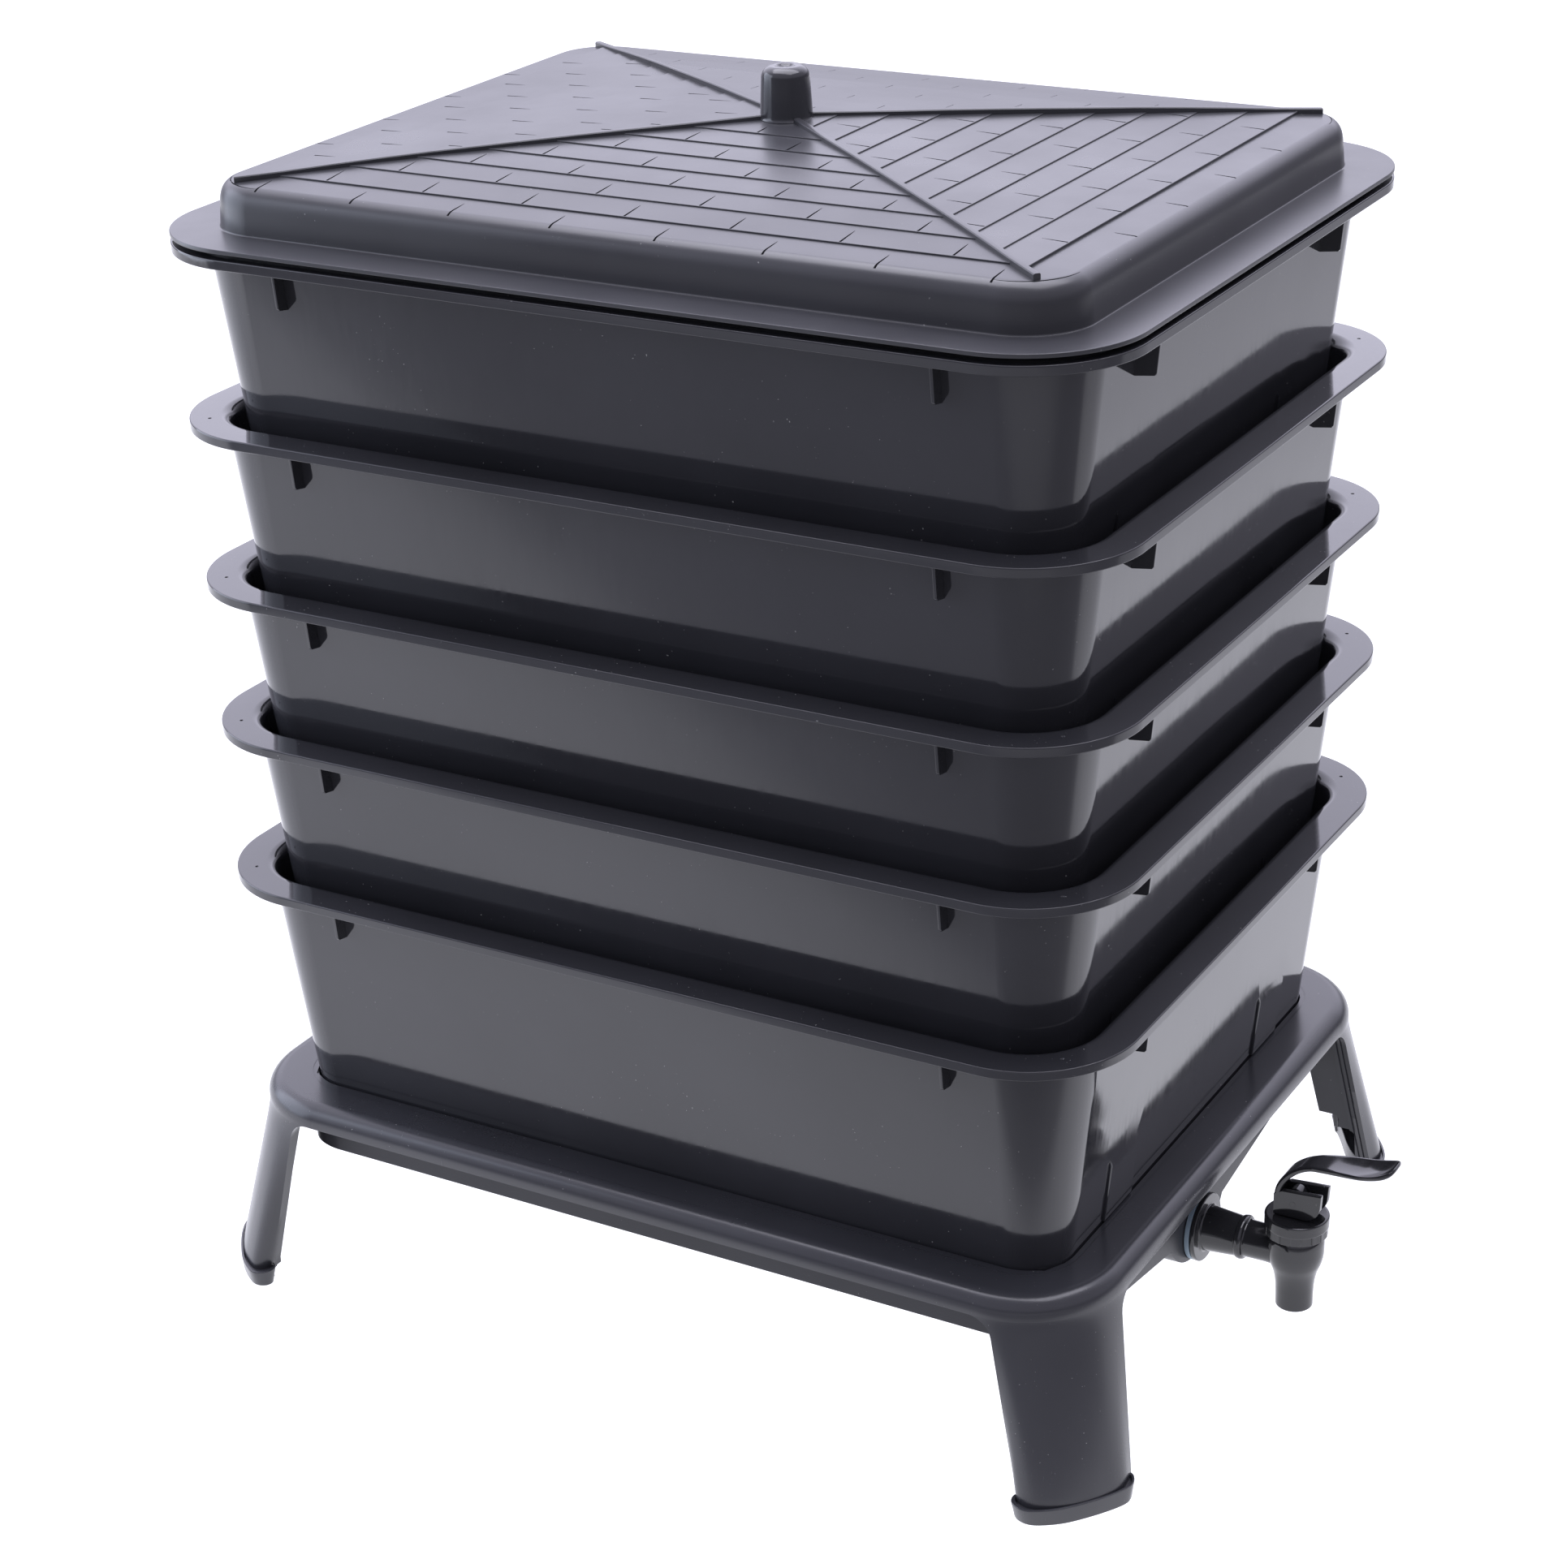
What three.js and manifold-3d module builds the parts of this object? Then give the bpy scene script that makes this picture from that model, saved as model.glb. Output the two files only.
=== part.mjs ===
// Stacking wormery: a footed base with a liquid bowl, five nested worm trays,
// a hipped lid with a knob, and a press-down drain tap on the +X end.
// Millimetres, +Z up. X runs along the long side, -Y is the wide front face.
// The origin is the centre of the bounding box, at floor level.
import * as THREE from 'three';
import { mergeVertices } from 'three/addons/utils/BufferGeometryUtils.js';
import Module from 'manifold-3d';

const wasm = await Module();
wasm.setup();

// ---------------------------------------------------------------- dimensions
const TRAY_A = 217.5;            // half length of a tray flange
const TRAY_B = 169.9;            // half depth of a tray flange
const TRAY_R = 48.5;             // flange corner radius
const TRAY_H = 116;              // tray height, flange top to underside
const FLANGE_T = 2.4;            // flange plate
const RIM_H = 4.2;               // down-turned rim of the flange
const WALL_OUT = 15.2;           // wall inset from the flange outline, at the top
const WALL_IN = 17.5;            // same, inner face
const DRAFT = 0.115;             // inset gained per mm of depth
const FLOOR_T = 2.4;
const HOLE = 8;                  // square floor holes
const HOLES_X = 8, HOLES_Y = 5, HOLE_DX = 46, HOLE_DY = 54;
const TRAY_TOPS = [201.8, 272.6, 339.4, 410.7, 487.1];   // flange tops above the floor
const GUSSET_T = 1.4;
const GUSSET_X = 149;            // gussets on the long sides
const GUSSET_Y = 93;             // gussets on the short sides
const PAD_Y0 = 66, PAD_Y1 = 94;  // wedge pads on the end walls
const PAD_TOP = 77, PAD_FOOT = 107, PAD_INSET = 22.5;

const BASE_A = 213.5, BASE_B = 167.5, BASE_R = 46;
const DECK_Z = 94.5;             // top of the base
const SKIRT_Z = 84.5;            // lower edge of its skirt
const OPEN_INSET = 22.1;         // opening edge, from the base outline
const BOWL_T = 2.2;
const BOWL_Z0 = 39.5;            // lowest line of the bowl, underside
const BOWL_SLOPE = 0.16;         // rise of the bowl floor per mm of y

const LID_Z = 491.4;             // lid flange top
const LID_T = 2.3;
const ROOF_Z = 510.5, APEX_Z = 523.7, ROOF_T = 2.2;
const ROOF_MID = 0.62, ROOF_CROWN = 0.7;   // the slopes are slightly crowned between eaves and apex
const KNOB_Z = 544.6;

const TAP_Z = 42.7;              // shank axis
const TAP_X = 240.5;             // valve axis
const PIN_Z = 69.1;              // lever pin
const BONNET_Z0 = 52.5, BONNET_Z1 = 62;

const FOOT_REACH = 232.2;        // furthest foot lip
const LEVER_REACH = 289.6;       // lever tip
const ORIGIN_X = (LEVER_REACH - FOOT_REACH) / 2;

const CORNER_SEG = 5;            // facets in a tray corner
const ROUND = 20;                // facets in the tap's turned parts

// ------------------------------------------------------------------- helpers
function toSolid(geometry) {
  geometry.deleteAttribute('normal');
  geometry.deleteAttribute('uv');
  const g = mergeVertices(geometry, 1e-4);
  const vertProperties = new Float32Array(g.attributes.position.array);
  const triVerts = new Uint32Array(g.index.array);
  return new wasm.Manifold(new wasm.Mesh({ numProp: 3, vertProperties, triVerts }));
}

function toGeometry(solid) {
  const m = solid.getMesh();
  const g = new THREE.BufferGeometry();
  const pos = new Float32Array(m.numVert * 3);
  for (let i = 0; i < m.numVert; i++)
    for (let k = 0; k < 3; k++) pos[3 * i + k] = m.vertProperties[i * m.numProp + k];
  g.setAttribute('position', new THREE.BufferAttribute(pos, 3));
  g.setIndex(new THREE.BufferAttribute(new Uint32Array(m.triVerts), 1));
  g.computeVertexNormals();
  return g;
}

const joined = (...s) => s.reduce((a, b) => a.add(b));

// rounded rectangle as a counter-clockwise list of [x, y]
function roundedRect(a, b, r, n = CORNER_SEG) {
  const out = [];
  const c = [[a - r, b - r, 0], [r - a, b - r, 90], [r - a, r - b, 180], [a - r, r - b, 270]];
  for (const [cx, cy, a0] of c)
    for (let i = 0; i <= n; i++) {
      const t = (a0 + 90 * i / n) * Math.PI / 180;
      out.push([cx + r * Math.cos(t), cy + r * Math.sin(t)]);
    }
  return out;
}

// closed surface through rings of equal length; a ring is a list of [x, y, z].
// mode 'torus' joins the last ring to the first, otherwise both ends get a fan
// to their own middle point (or to the given tip).
function loft(rings, mode = 'caps', tips = []) {
  const m = rings[0].length, pos = [], idx = [];
  for (const r of rings) for (const p of r) pos.push(...p);
  const strips = mode === 'torus' ? rings.length : rings.length - 1;
  for (let s = 0; s < strips; s++) {
    const a = s * m, b = ((s + 1) % rings.length) * m;
    for (let i = 0; i < m; i++) {
      const j = (i + 1) % m;
      idx.push(a + i, a + j, b + j, a + i, b + j, b + i);
    }
  }
  if (mode !== 'torus') {
    const middle = r => [0, 1, 2].map(k => r.reduce((s, p) => s + p[k], 0) / m);
    const c0 = pos.length / 3;
    pos.push(...(tips[0] || middle(rings[0])));
    pos.push(...(tips[1] || middle(rings[rings.length - 1])));
    const last = (rings.length - 1) * m;
    for (let i = 0; i < m; i++) {
      const j = (i + 1) % m;
      idx.push(c0, j, i);
      idx.push(c0 + 1, last + i, last + j);
    }
  }
  let v = 0;
  const at = i => new THREE.Vector3(pos[3 * i], pos[3 * i + 1], pos[3 * i + 2]);
  for (let t = 0; t < idx.length; t += 3)
    v += at(idx[t]).dot(at(idx[t + 1]).cross(at(idx[t + 2])));
  if (v < 0) for (let t = 0; t < idx.length; t += 3) [idx[t], idx[t + 1]] = [idx[t + 1], idx[t]];
  const g = new THREE.BufferGeometry();
  g.setAttribute('position', new THREE.BufferAttribute(new Float32Array(pos), 3));
  g.setIndex(idx);
  return toSolid(g);
}

// rings of the tray outline at [inset, z]
const outlineRings = (a, b, r, profile, z0 = 0, n = CORNER_SEG) =>
  profile.map(([inset, z]) =>
    roundedRect(a - inset, b - inset, Math.max(r - inset, 3), n).map(([x, y]) => [x, y, z + z0]));

// flat outline pushed straight through; the points are [u, v] and 'axis' says
// which way the thickness w0..w1 runs: x -> (w,u,v), y -> (u,w,v), z -> (u,v,w)
function slab(points, axis, w0, w1) {
  const shape = new THREE.Shape(points.map(([u, v]) => new THREE.Vector2(u, v)));
  const g = new THREE.ExtrudeGeometry(shape, { depth: w1 - w0, bevelEnabled: false, steps: 1 });
  g.translate(0, 0, w0);
  if (axis === 'x') g.applyMatrix4(new THREE.Matrix4().set(0, 0, 1, 0, 1, 0, 0, 0, 0, 1, 0, 0, 0, 0, 0, 1));
  if (axis === 'y') {
    // (u, v, w) -> (u, w, v) mirrors, so the faces are turned round again
    g.applyMatrix4(new THREE.Matrix4().set(1, 0, 0, 0, 0, 0, 1, 0, 0, 1, 0, 0, 0, 0, 0, 1));
    const p = g.attributes.position.array;
    for (let t = 0; t < p.length; t += 9)
      for (let k = 0; k < 3; k++) [p[t + k], p[t + 3 + k]] = [p[t + 3 + k], p[t + k]];
  }
  return toSolid(g);
}

// turned part about +Z from [radius, z] points; 'x' lays its axis along +X
function turned(profile, seg = ROUND, axis = 'z') {
  const g = new THREE.LatheGeometry(profile.map(([r, z]) => new THREE.Vector2(r, z)), seg);
  if (axis === 'z') g.rotateX(Math.PI / 2);
  if (axis === 'x') g.rotateZ(-Math.PI / 2);
  g.deleteAttribute('normal');
  g.deleteAttribute('uv');
  const h = mergeVertices(g, 1e-4);
  const p = h.attributes.position.array, q = Array.from(h.index.array), idx = [];
  for (let t = 0; t < q.length; t += 3)
    if (q[t] !== q[t + 1] && q[t + 1] !== q[t + 2] && q[t] !== q[t + 2]) idx.push(q[t], q[t + 1], q[t + 2]);
  let v = 0;
  const at = i => new THREE.Vector3(p[3 * i], p[3 * i + 1], p[3 * i + 2]);
  for (let t = 0; t < idx.length; t += 3)
    v += at(idx[t]).dot(at(idx[t + 1]).cross(at(idx[t + 2])));
  if (v < 0) for (let t = 0; t < idx.length; t += 3) [idx[t], idx[t + 1]] = [idx[t + 1], idx[t]];
  h.setIndex(idx);
  return toSolid(h);
}
const rod = (r, z0, z1, seg = ROUND, axis = 'z') => turned([[0, z0], [r, z0], [r, z1], [0, z1]], seg, axis);

const mirrored = (solid, sx, sy) => {
  if (sx === 1 && sy === 1) return solid;
  const m = solid.getMesh();
  const v = new Float32Array(m.vertProperties), t = new Uint32Array(m.triVerts);
  for (let i = 0; i < v.length; i += 3) { v[i] *= sx; v[i + 1] *= sy; }
  if (sx * sy < 0) for (let i = 0; i < t.length; i += 3) [t[i], t[i + 1]] = [t[i + 1], t[i]];
  return new wasm.Manifold(new wasm.Mesh({ numProp: 3, vertProperties: v, triVerts: t }));
};
const fourWays = solid => joined(...[[1, 1], [-1, 1], [-1, -1], [1, -1]].map(([x, y]) => mirrored(solid, x, y)));

// --------------------------------------------------------------------- tray
function makeTray() {
  const out = h => WALL_OUT + DRAFT * h, inn = h => WALL_IN + DRAFT * h, H = TRAY_H;
  let tray = loft(outlineRings(TRAY_A, TRAY_B, TRAY_R, [
    [out(H) + 5.5, -H], [out(H) + 1.5, 1.6 - H], [out(H - 6), 6 - H],
    [out(FLANGE_T), -FLANGE_T],
    [1.7, -FLANGE_T], [1.7, -RIM_H], [0, -RIM_H], [0, 0],
    [13.8, 0], [16.3, -0.8], [17.4, -3.0],
    [inn(H - FLOOR_T), FLOOR_T - H]]));
  // gussets under the flange, two on each side
  const gusset = half => [[half - 7.5, -FLANGE_T + 0.6], [half - 7.0, -21.7], [half - 19.2, -24.6], [half - 16.4, -FLANGE_T + 0.6]];
  tray = joined(tray,
    fourWays(slab(gusset(TRAY_B), 'x', GUSSET_X - GUSSET_T / 2, GUSSET_X + GUSSET_T / 2)),
    fourWays(slab(gusset(TRAY_A), 'y', GUSSET_Y - GUSSET_T / 2, GUSSET_Y + GUSSET_T / 2)));
  // wedge pads low on the end walls
  tray = tray.add(fourWays(slab([
    [TRAY_A - out(PAD_TOP) - 1.3, 3 - PAD_TOP], [TRAY_A - out(PAD_TOP) + 0.1, -PAD_TOP],
    [TRAY_A - PAD_INSET, -PAD_FOOT], [TRAY_A - out(PAD_FOOT) - 1.1, -PAD_FOOT]], 'y', PAD_Y0, PAD_Y1)));
  // floor holes
  const holes = [];
  for (let i = 0; i < HOLES_X; i++)
    for (let j = 0; j < HOLES_Y; j++) {
      const x = (i - (HOLES_X - 1) / 2) * HOLE_DX, y = (j - (HOLES_Y - 1) / 2) * HOLE_DY;
      const g = new THREE.BoxGeometry(HOLE, HOLE, 8);
      g.translate(x, y, FLOOR_T / 2 - H);
      holes.push(toSolid(g));
    }
  return tray.subtract(joined(...holes));
}

// --------------------------------------------------------------------- base
function makeLeg() {
  // U-shaped channel round the corner, splayed outwards to the foot
  const t = 2.4, arc = (inset) => {
    const pts = [], r = BASE_R - inset;
    for (let i = 0; i < 7; i++) {
      const a = (80.2 - i * (80.2 - 4.4) / 6) * Math.PI / 180;
      pts.push([BASE_A - BASE_R + r * Math.cos(a), BASE_B - BASE_R + r * Math.sin(a)]);
    }
    return pts;
  };
  const section = (outer, depthA, depthB, z) => {
    const n = outer.length, inner = outer.map((p, i) => {
      const a = outer[Math.max(i - 1, 0)], b = outer[Math.min(i + 1, n - 1)];
      const dx = b[0] - a[0], dy = b[1] - a[1], l = Math.hypot(dx, dy);
      return [p[0] + dy / l * t, p[1] - dx / l * t];
    });
    inner[0] = [outer[0][0] + t, outer[0][1] - t];
    inner[n - 1] = [outer[n - 1][0] - t, outer[n - 1][1] + t];
    const A = outer[0], B = outer[n - 1];
    return [[A[0], A[1] - depthA], ...outer, [B[0] - depthB, B[1]],
      [B[0] - depthB, B[1] + t], ...inner.reverse(), [A[0] + t, A[1] - depthA]].map(([x, y]) => [x, y, z]);
  };
  const foot = [[190, 177.5], [199, 180], [208, 178.5], [216, 173.5], [222, 165], [226, 153], [223.7, 136.8]];
  const rings = [section(arc(5.5), 17, 17, 92.7), section(arc(0.25), 17, 17, 86), section(foot, 14, 14, 1.2)];
  // the U outline is not convex, so its ends are filled by triangulation
  const m = rings[0].length, pos = [], idx = [];
  for (const r of rings) for (const p of r) pos.push(...p);
  for (let s = 0; s < 2; s++)
    for (let i = 0; i < m; i++) {
      const j = (i + 1) % m, a = s * m, b = a + m;
      idx.push(a + i, b + i, b + j, a + i, b + j, a + j);
    }
  const flat = r => r.map(([x, y]) => new THREE.Vector2(x, y));
  for (const [ring, first, way] of [[rings[0], 0, 1], [rings[2], 2 * m, -1]]) {
    const pts = flat(ring), sense = Math.sign(THREE.ShapeUtils.area(pts)) * way;
    for (const [p, q, r] of THREE.ShapeUtils.triangulateShape(pts, [])) {
      const same = Math.sign(THREE.ShapeUtils.area([pts[p], pts[q], pts[r]])) === sense;
      idx.push(first + p, first + (same ? q : r), first + (same ? r : q));
    }
  }
  let v = 0;
  const at = i => new THREE.Vector3(pos[3 * i], pos[3 * i + 1], pos[3 * i + 2]);
  for (let k = 0; k < idx.length; k += 3) v += at(idx[k]).dot(at(idx[k + 1]).cross(at(idx[k + 2])));
  if (v < 0) for (let k = 0; k < idx.length; k += 3) [idx[k], idx[k + 1]] = [idx[k + 1], idx[k]];
  const g = new THREE.BufferGeometry();
  g.setAttribute('position', new THREE.BufferAttribute(new Float32Array(pos), 3));
  g.setIndex(idx);
  const leg = toSolid(g);
  // shallow foot cup with an outward-leaning lip
  const f0 = [[190.5, 178.6], [197.8, 180.9], [205.5, 175.9], [212.5, 170.4], [220.5, 160.2], [228.3, 150], [228.5, 144.9], [224.5, 136.8], [209, 136.8], [190.5, 163]];
  const f1 = [[191.5, 181.0], [199.1, 188.2], [207.5, 182.8], [214.0, 177.5], [226.0, 164.5], [FOOT_REACH, 153.3], [231.6, 146.5], [225.5, 137.5], [209, 136.8], [190.5, 163]];
  const c0 = [[191, 176], [198, 178.2], [204.2, 173.6], [211, 168.6], [218.8, 158.6], [226, 149.4], [226.2, 145.4], [222, 133], [205, 131], [186, 160]];
  const c1 = [[192, 178], [199.2, 185.2], [206.2, 180.6], [212.5, 175.6], [224.2, 163.0], [229.8, 152.8], [229.2, 147.2], [222, 133], [205, 131], [186, 160]];
  const at3 = (pts, z) => pts.map(([x, y]) => [x, y, z]);
  const cup = loft([at3(f0, 0), at3(f1, 11)]).subtract(loft([at3(c0, 2.4), at3(c1, 11.8)]));
  return leg.add(cup);
}

function makeBase() {
  const deck = loft(outlineRings(BASE_A, BASE_B, BASE_R, [
    [0, SKIRT_Z], [0, 86.5], [0.61, 89.56], [2.34, 92.16], [4.94, 93.89], [8, DECK_Z],
    [OPEN_INSET - 1.2, DECK_Z], [OPEN_INSET - 1.2, 92.2], [8, 92.2], [3.4, 89.4], [2.5, SKIRT_Z]]), 'torus');
  const prism = (inset, z0, z1) => loft(outlineRings(BASE_A, BASE_B, BASE_R, [[inset, z0], [inset, z1]]));
  const wedge = (z0) => slab([[0, z0], [170, z0 + 170 * BOWL_SLOPE], [170, 110], [-170, 110], [-170, z0 + 170 * BOWL_SLOPE]], 'x', -200, 200);
  const trough = (r, z1) => {
    const pts = [], zc = 60.5, half = Math.asin(0.86);
    for (let i = 0; i <= 8; i++) {
      const a = -half + i * half / 4;
      pts.push([r * Math.sin(a), zc - r * Math.cos(a)]);
    }
    pts.push([r * Math.sin(half), z1], [-r * Math.sin(half), z1]);
    return pts;
  };
  const outer = prism(OPEN_INSET - BOWL_T, 20, 94.1).intersect(wedge(BOWL_Z0))
    .add(slab(trough(33, 46), 'x', 160, BASE_A - OPEN_INSET + BOWL_T));
  const inner = prism(OPEN_INSET, 20, 110).intersect(wedge(BOWL_Z0 + BOWL_T))
    .add(slab(trough(33 - BOWL_T, 54), 'x', 160 + BOWL_T, BASE_A - OPEN_INSET));
  let base = joined(deck, outer, fourWays(makeLeg())).subtract(inner);
  // shallow relief in each corner of the opening
  const c = [181.5, 131.5];
  const relief = slab([[c[0] - 9.5, c[1] + 5.4], [c[0] + 4.6, c[1] - 8.7], [c[0] + 8.2, c[1] - 3.0], [c[0] + 3.2, c[1] + 6.4], [c[0] - 4.4, c[1] + 9.8]], 'z', DECK_Z - 1.2, DECK_Z + 2);
  base = base.subtract(fourWays(relief));
  const tapHole = rod(8.4, 180, 200, ROUND, 'x').translate([0, 0, TAP_Z]);
  return base.subtract(tapHole);
}

// ---------------------------------------------------------------------- lid
function makeLid() {
  const u = LID_Z - LID_T;
  const below = [[30.6, ROOF_Z - ROOF_T], [26.4, 506.0], [24.2, 501.7], [23.2, 491],
    [21.8, 481], [19.6, 481], [19.6, u],
    [13.0, u], [12.6, 487.45], [11.4, 487.45], [11.0, u],
    [0, u], [0, LID_Z], [20.9, LID_Z],
    [21.9, 503.8], [23.7, 507.9], [28.2, ROOF_Z]];
  const rings = outlineRings(TRAY_A, TRAY_B, TRAY_R, below);
  const midZ = APEX_Z - ROOF_MID * (APEX_Z - ROOF_Z) + ROOF_CROWN;
  const crown = (ring, z) => ring.map(([x, y]) => [x * ROOF_MID, y * ROOF_MID, z]);
  rings.unshift(crown(rings[0], midZ - ROOF_T));
  rings.push(crown(rings[rings.length - 1], midZ));
  let lid = loft(rings, 'caps', [[0, 0, APEX_Z - ROOF_T], [0, 0, APEX_Z]]);
  // a low square-ended rib down each hip
  const end = Math.hypot(181.2, 138.3), turn = Math.atan2(138.3, 181.2);
  const half = end * ROOF_MID;
  const side = slab([[7, APEX_Z - 1.8], [half, midZ - 1.4], [end, ROOF_Z - 1.1], [end, 512.5], [half, midZ + 2], [7, APEX_Z + 1.6]], 'y', -1.5, 1.5);
  const rib = side.rotate([0, 0, turn * 180 / Math.PI]);
  const knob = turned([[0, APEX_Z - 2], [10.8, APEX_Z - 2], [10.4, 527.5], [8.9, 539], [8.2, 542.6], [6.4, 544.3], [4.4, KNOB_Z], [0, 544.2]], 18);
  return joined(lid, fourWays(rib), knob);
}

// ---------------------------------------------------------------------- tap
function makeTapBody() {
  // shank, flange disc, spigot with its ring, along +X
  const spigot = turned([[0, 175], [7.6, 175], [8, 175.8], [8, 196.5], [15.65, 196.5], [15.65, 198.1], [15.1, 198.6],
    [10.6, 198.6], [10.1, 200], [9.1, 214.6], [9.7, 215], [9.7, 217.8], [8.4, 218.4], [8.3, 236], [0, 236]], ROUND, 'x').translate([0, 0, TAP_Z]);
  const barrel = turned([[0, 15.5], [8.3, 15.5], [8.5, 25], [9.1, 30.5], [10.8, 35.5], [12.1, 40], [12.5, 44.5], [12.2, 50], [11.5, 51.4], [11.5, 59.2], [0, 59.2]]).translate([TAP_X, 0, 0]);
  const bore = rod(5, 170, 238, 14, 'x').translate([0, 0, TAP_Z]);
  const chamber = turned([[0, 10], [5.6, 10], [5.6, 34], [8.8, 34], [8.8, 70], [0, 70]]).translate([TAP_X, 0, 0]);
  return joined(spigot, barrel).subtract(bore).subtract(chamber);
}
const ringX = (r0, r1, x0, x1, seg) =>
  rod(r1, x0, x1, seg, 'x').subtract(rod(r0, x0 - 2, x1 + 2, ROUND, 'x')).translate([0, 0, TAP_Z]);

function makeBonnet() {
  const outer = turned([[0, BONNET_Z0], [13.5, BONNET_Z0], [14.2, BONNET_Z0 + 1.2], [14.2, BONNET_Z1 - 1], [13.3, BONNET_Z1], [0, BONNET_Z1]]);
  return outer.subtract(rod(11.85, 40, 59.6)).subtract(rod(3.5, 50, 70, 14)).translate([TAP_X, 0, 0]);
}
function makeStem() {
  const tangTop = [];
  for (let i = 0; i <= 6; i++) tangTop.push([3.6 * Math.cos(i * Math.PI / 6), PIN_Z + 2.4 + 3.6 * Math.sin(i * Math.PI / 6)]);
  const tang = slab([[-3.6, BONNET_Z1 + 1.4], [3.6, BONNET_Z1 + 1.4], ...tangTop], 'y', -2.6, 2.6);
  const post = turned([[0, 41], [3, 41], [3, BONNET_Z1 + 2], [0, BONNET_Z1 + 2]], 14);
  const eye = slab(circle(0, PIN_Z, 1.7, 12), 'y', -4, 4);
  return joined(tang, post).subtract(eye).translate([TAP_X, 0, 0]);
}
function circle(cx, cy, r, n) {
  const p = [];
  for (let i = 0; i < n; i++) p.push([cx + r * Math.cos(2 * Math.PI * i / n), cy + r * Math.sin(2 * Math.PI * i / n)]);
  return p;
}
function makeValveCup() {
  return turned([[0, 34.3], [7.2, 34.3], [7.7, 37], [5.4, 41], [5.4, 50], [8.3, 52], [8.3, 54.6], [3.3, 54.6], [3.3, 40.7], [0, 40.7]], 16).translate([TAP_X, 0, 0]);
}
function makeLever() {
  // cheek outline about the pin: flat heel, then a round cam that lifts the stem
  const cam = [[-8.9, -6.8]];
  for (let i = 0; i <= 6; i++) {
    const a = (-90 + i * 15) * Math.PI / 180;
    cam.push([4.5 + 8 * Math.cos(a), 1.2 + 8 * Math.sin(a)]);
  }
  cam.push([12.9, 6.9], [-8.9, 6.9]);
  const outline = cam.map(([x, z]) => [TAP_X + x, PIN_Z + z]);
  const cheeks = slab(outline, 'y', -6, -3.2).add(slab(outline, 'y', 3.2, 6));
  const arm = [[231.0, 72.6], [232.3, 78.0], [236.6, 83.8], [242.0, 88.2], [247.5, 90.4], [256, 91.5], [263, 92.3],
    [263.2, 89.9], [256.2, 89.1], [248.2, 88.0], [243.4, 86.0], [238.9, 82.2], [235.0, 77.2], [233.9, 72.6]];
  const paddle = [[256, 91.5], [266, 92.7], [274, 94.1], [280.5, 96.5], [285.2, 100.0], [288.0, 103.2],
    [LEVER_REACH, 101.6], [286.8, 98.2], [281.9, 94.3], [275, 91.7], [266.4, 90.3], [256.2, 89.1]];
  const eye = slab(circle(TAP_X, PIN_Z, 1.65, 12), 'y', -8, 8);
  return joined(cheeks, slab(arm, 'y', -6, 6), slab(paddle, 'y', -8.6, 8.6)).subtract(eye);
}
const makePin = () => slab(circle(TAP_X, PIN_Z, 1.35, 12), 'y', -6.4, 6.4);

// ------------------------------------------------------------------ assembly
const satinBlack = new THREE.MeshStandardMaterial({ color: 0x1c1e21, roughness: 0.38, metalness: 0 });
const lidBlack = new THREE.MeshStandardMaterial({ color: 0x1e2023, roughness: 0.46, metalness: 0 });
const glossBlack = new THREE.MeshStandardMaterial({ color: 0x101113, roughness: 0.2, metalness: 0 });
const sealGrey = new THREE.MeshStandardMaterial({ color: 0x46525c, roughness: 0.7, metalness: 0 });
const cupWhite = new THREE.MeshStandardMaterial({ color: 0xcfd2d2, roughness: 0.6, metalness: 0 });

const wormery = new THREE.Group();
const add = (name, geometry, material, z = 0) => {
  const mesh = new THREE.Mesh(geometry, material);
  mesh.name = name;
  mesh.position.set(-ORIGIN_X, 0, z);
  wormery.add(mesh);
};

add('base_stand', toGeometry(makeBase()), satinBlack);
const tray = toGeometry(makeTray());
TRAY_TOPS.forEach((z, i) => add(`tray_${i + 1}`, tray.clone(), satinBlack, z));
add('lid', toGeometry(makeLid()), lidBlack);
add('tap_body', toGeometry(makeTapBody()), glossBlack);
add('tap_outer_washer', toGeometry(ringX(8.3, 15.5, 193.9, 196.2, 24)), sealGrey);
add('tap_inner_washer', toGeometry(ringX(8.3, 11.5, 188.9, 191.1, 20)), sealGrey);
add('tap_lock_nut', toGeometry(ringX(8.3, 12.1, 182, 188.6, 6)), glossBlack);
add('tap_bonnet', toGeometry(makeBonnet()), glossBlack);
add('tap_stem', toGeometry(makeStem()), glossBlack);
add('tap_valve_cup', toGeometry(makeValveCup()), cupWhite);
add('tap_lever', toGeometry(makeLever()), glossBlack);
add('tap_lever_pin', toGeometry(makePin()), glossBlack);

export default wormery;
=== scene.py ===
import math
import bpy
import numpy as np
from mathutils import Matrix, Vector


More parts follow.
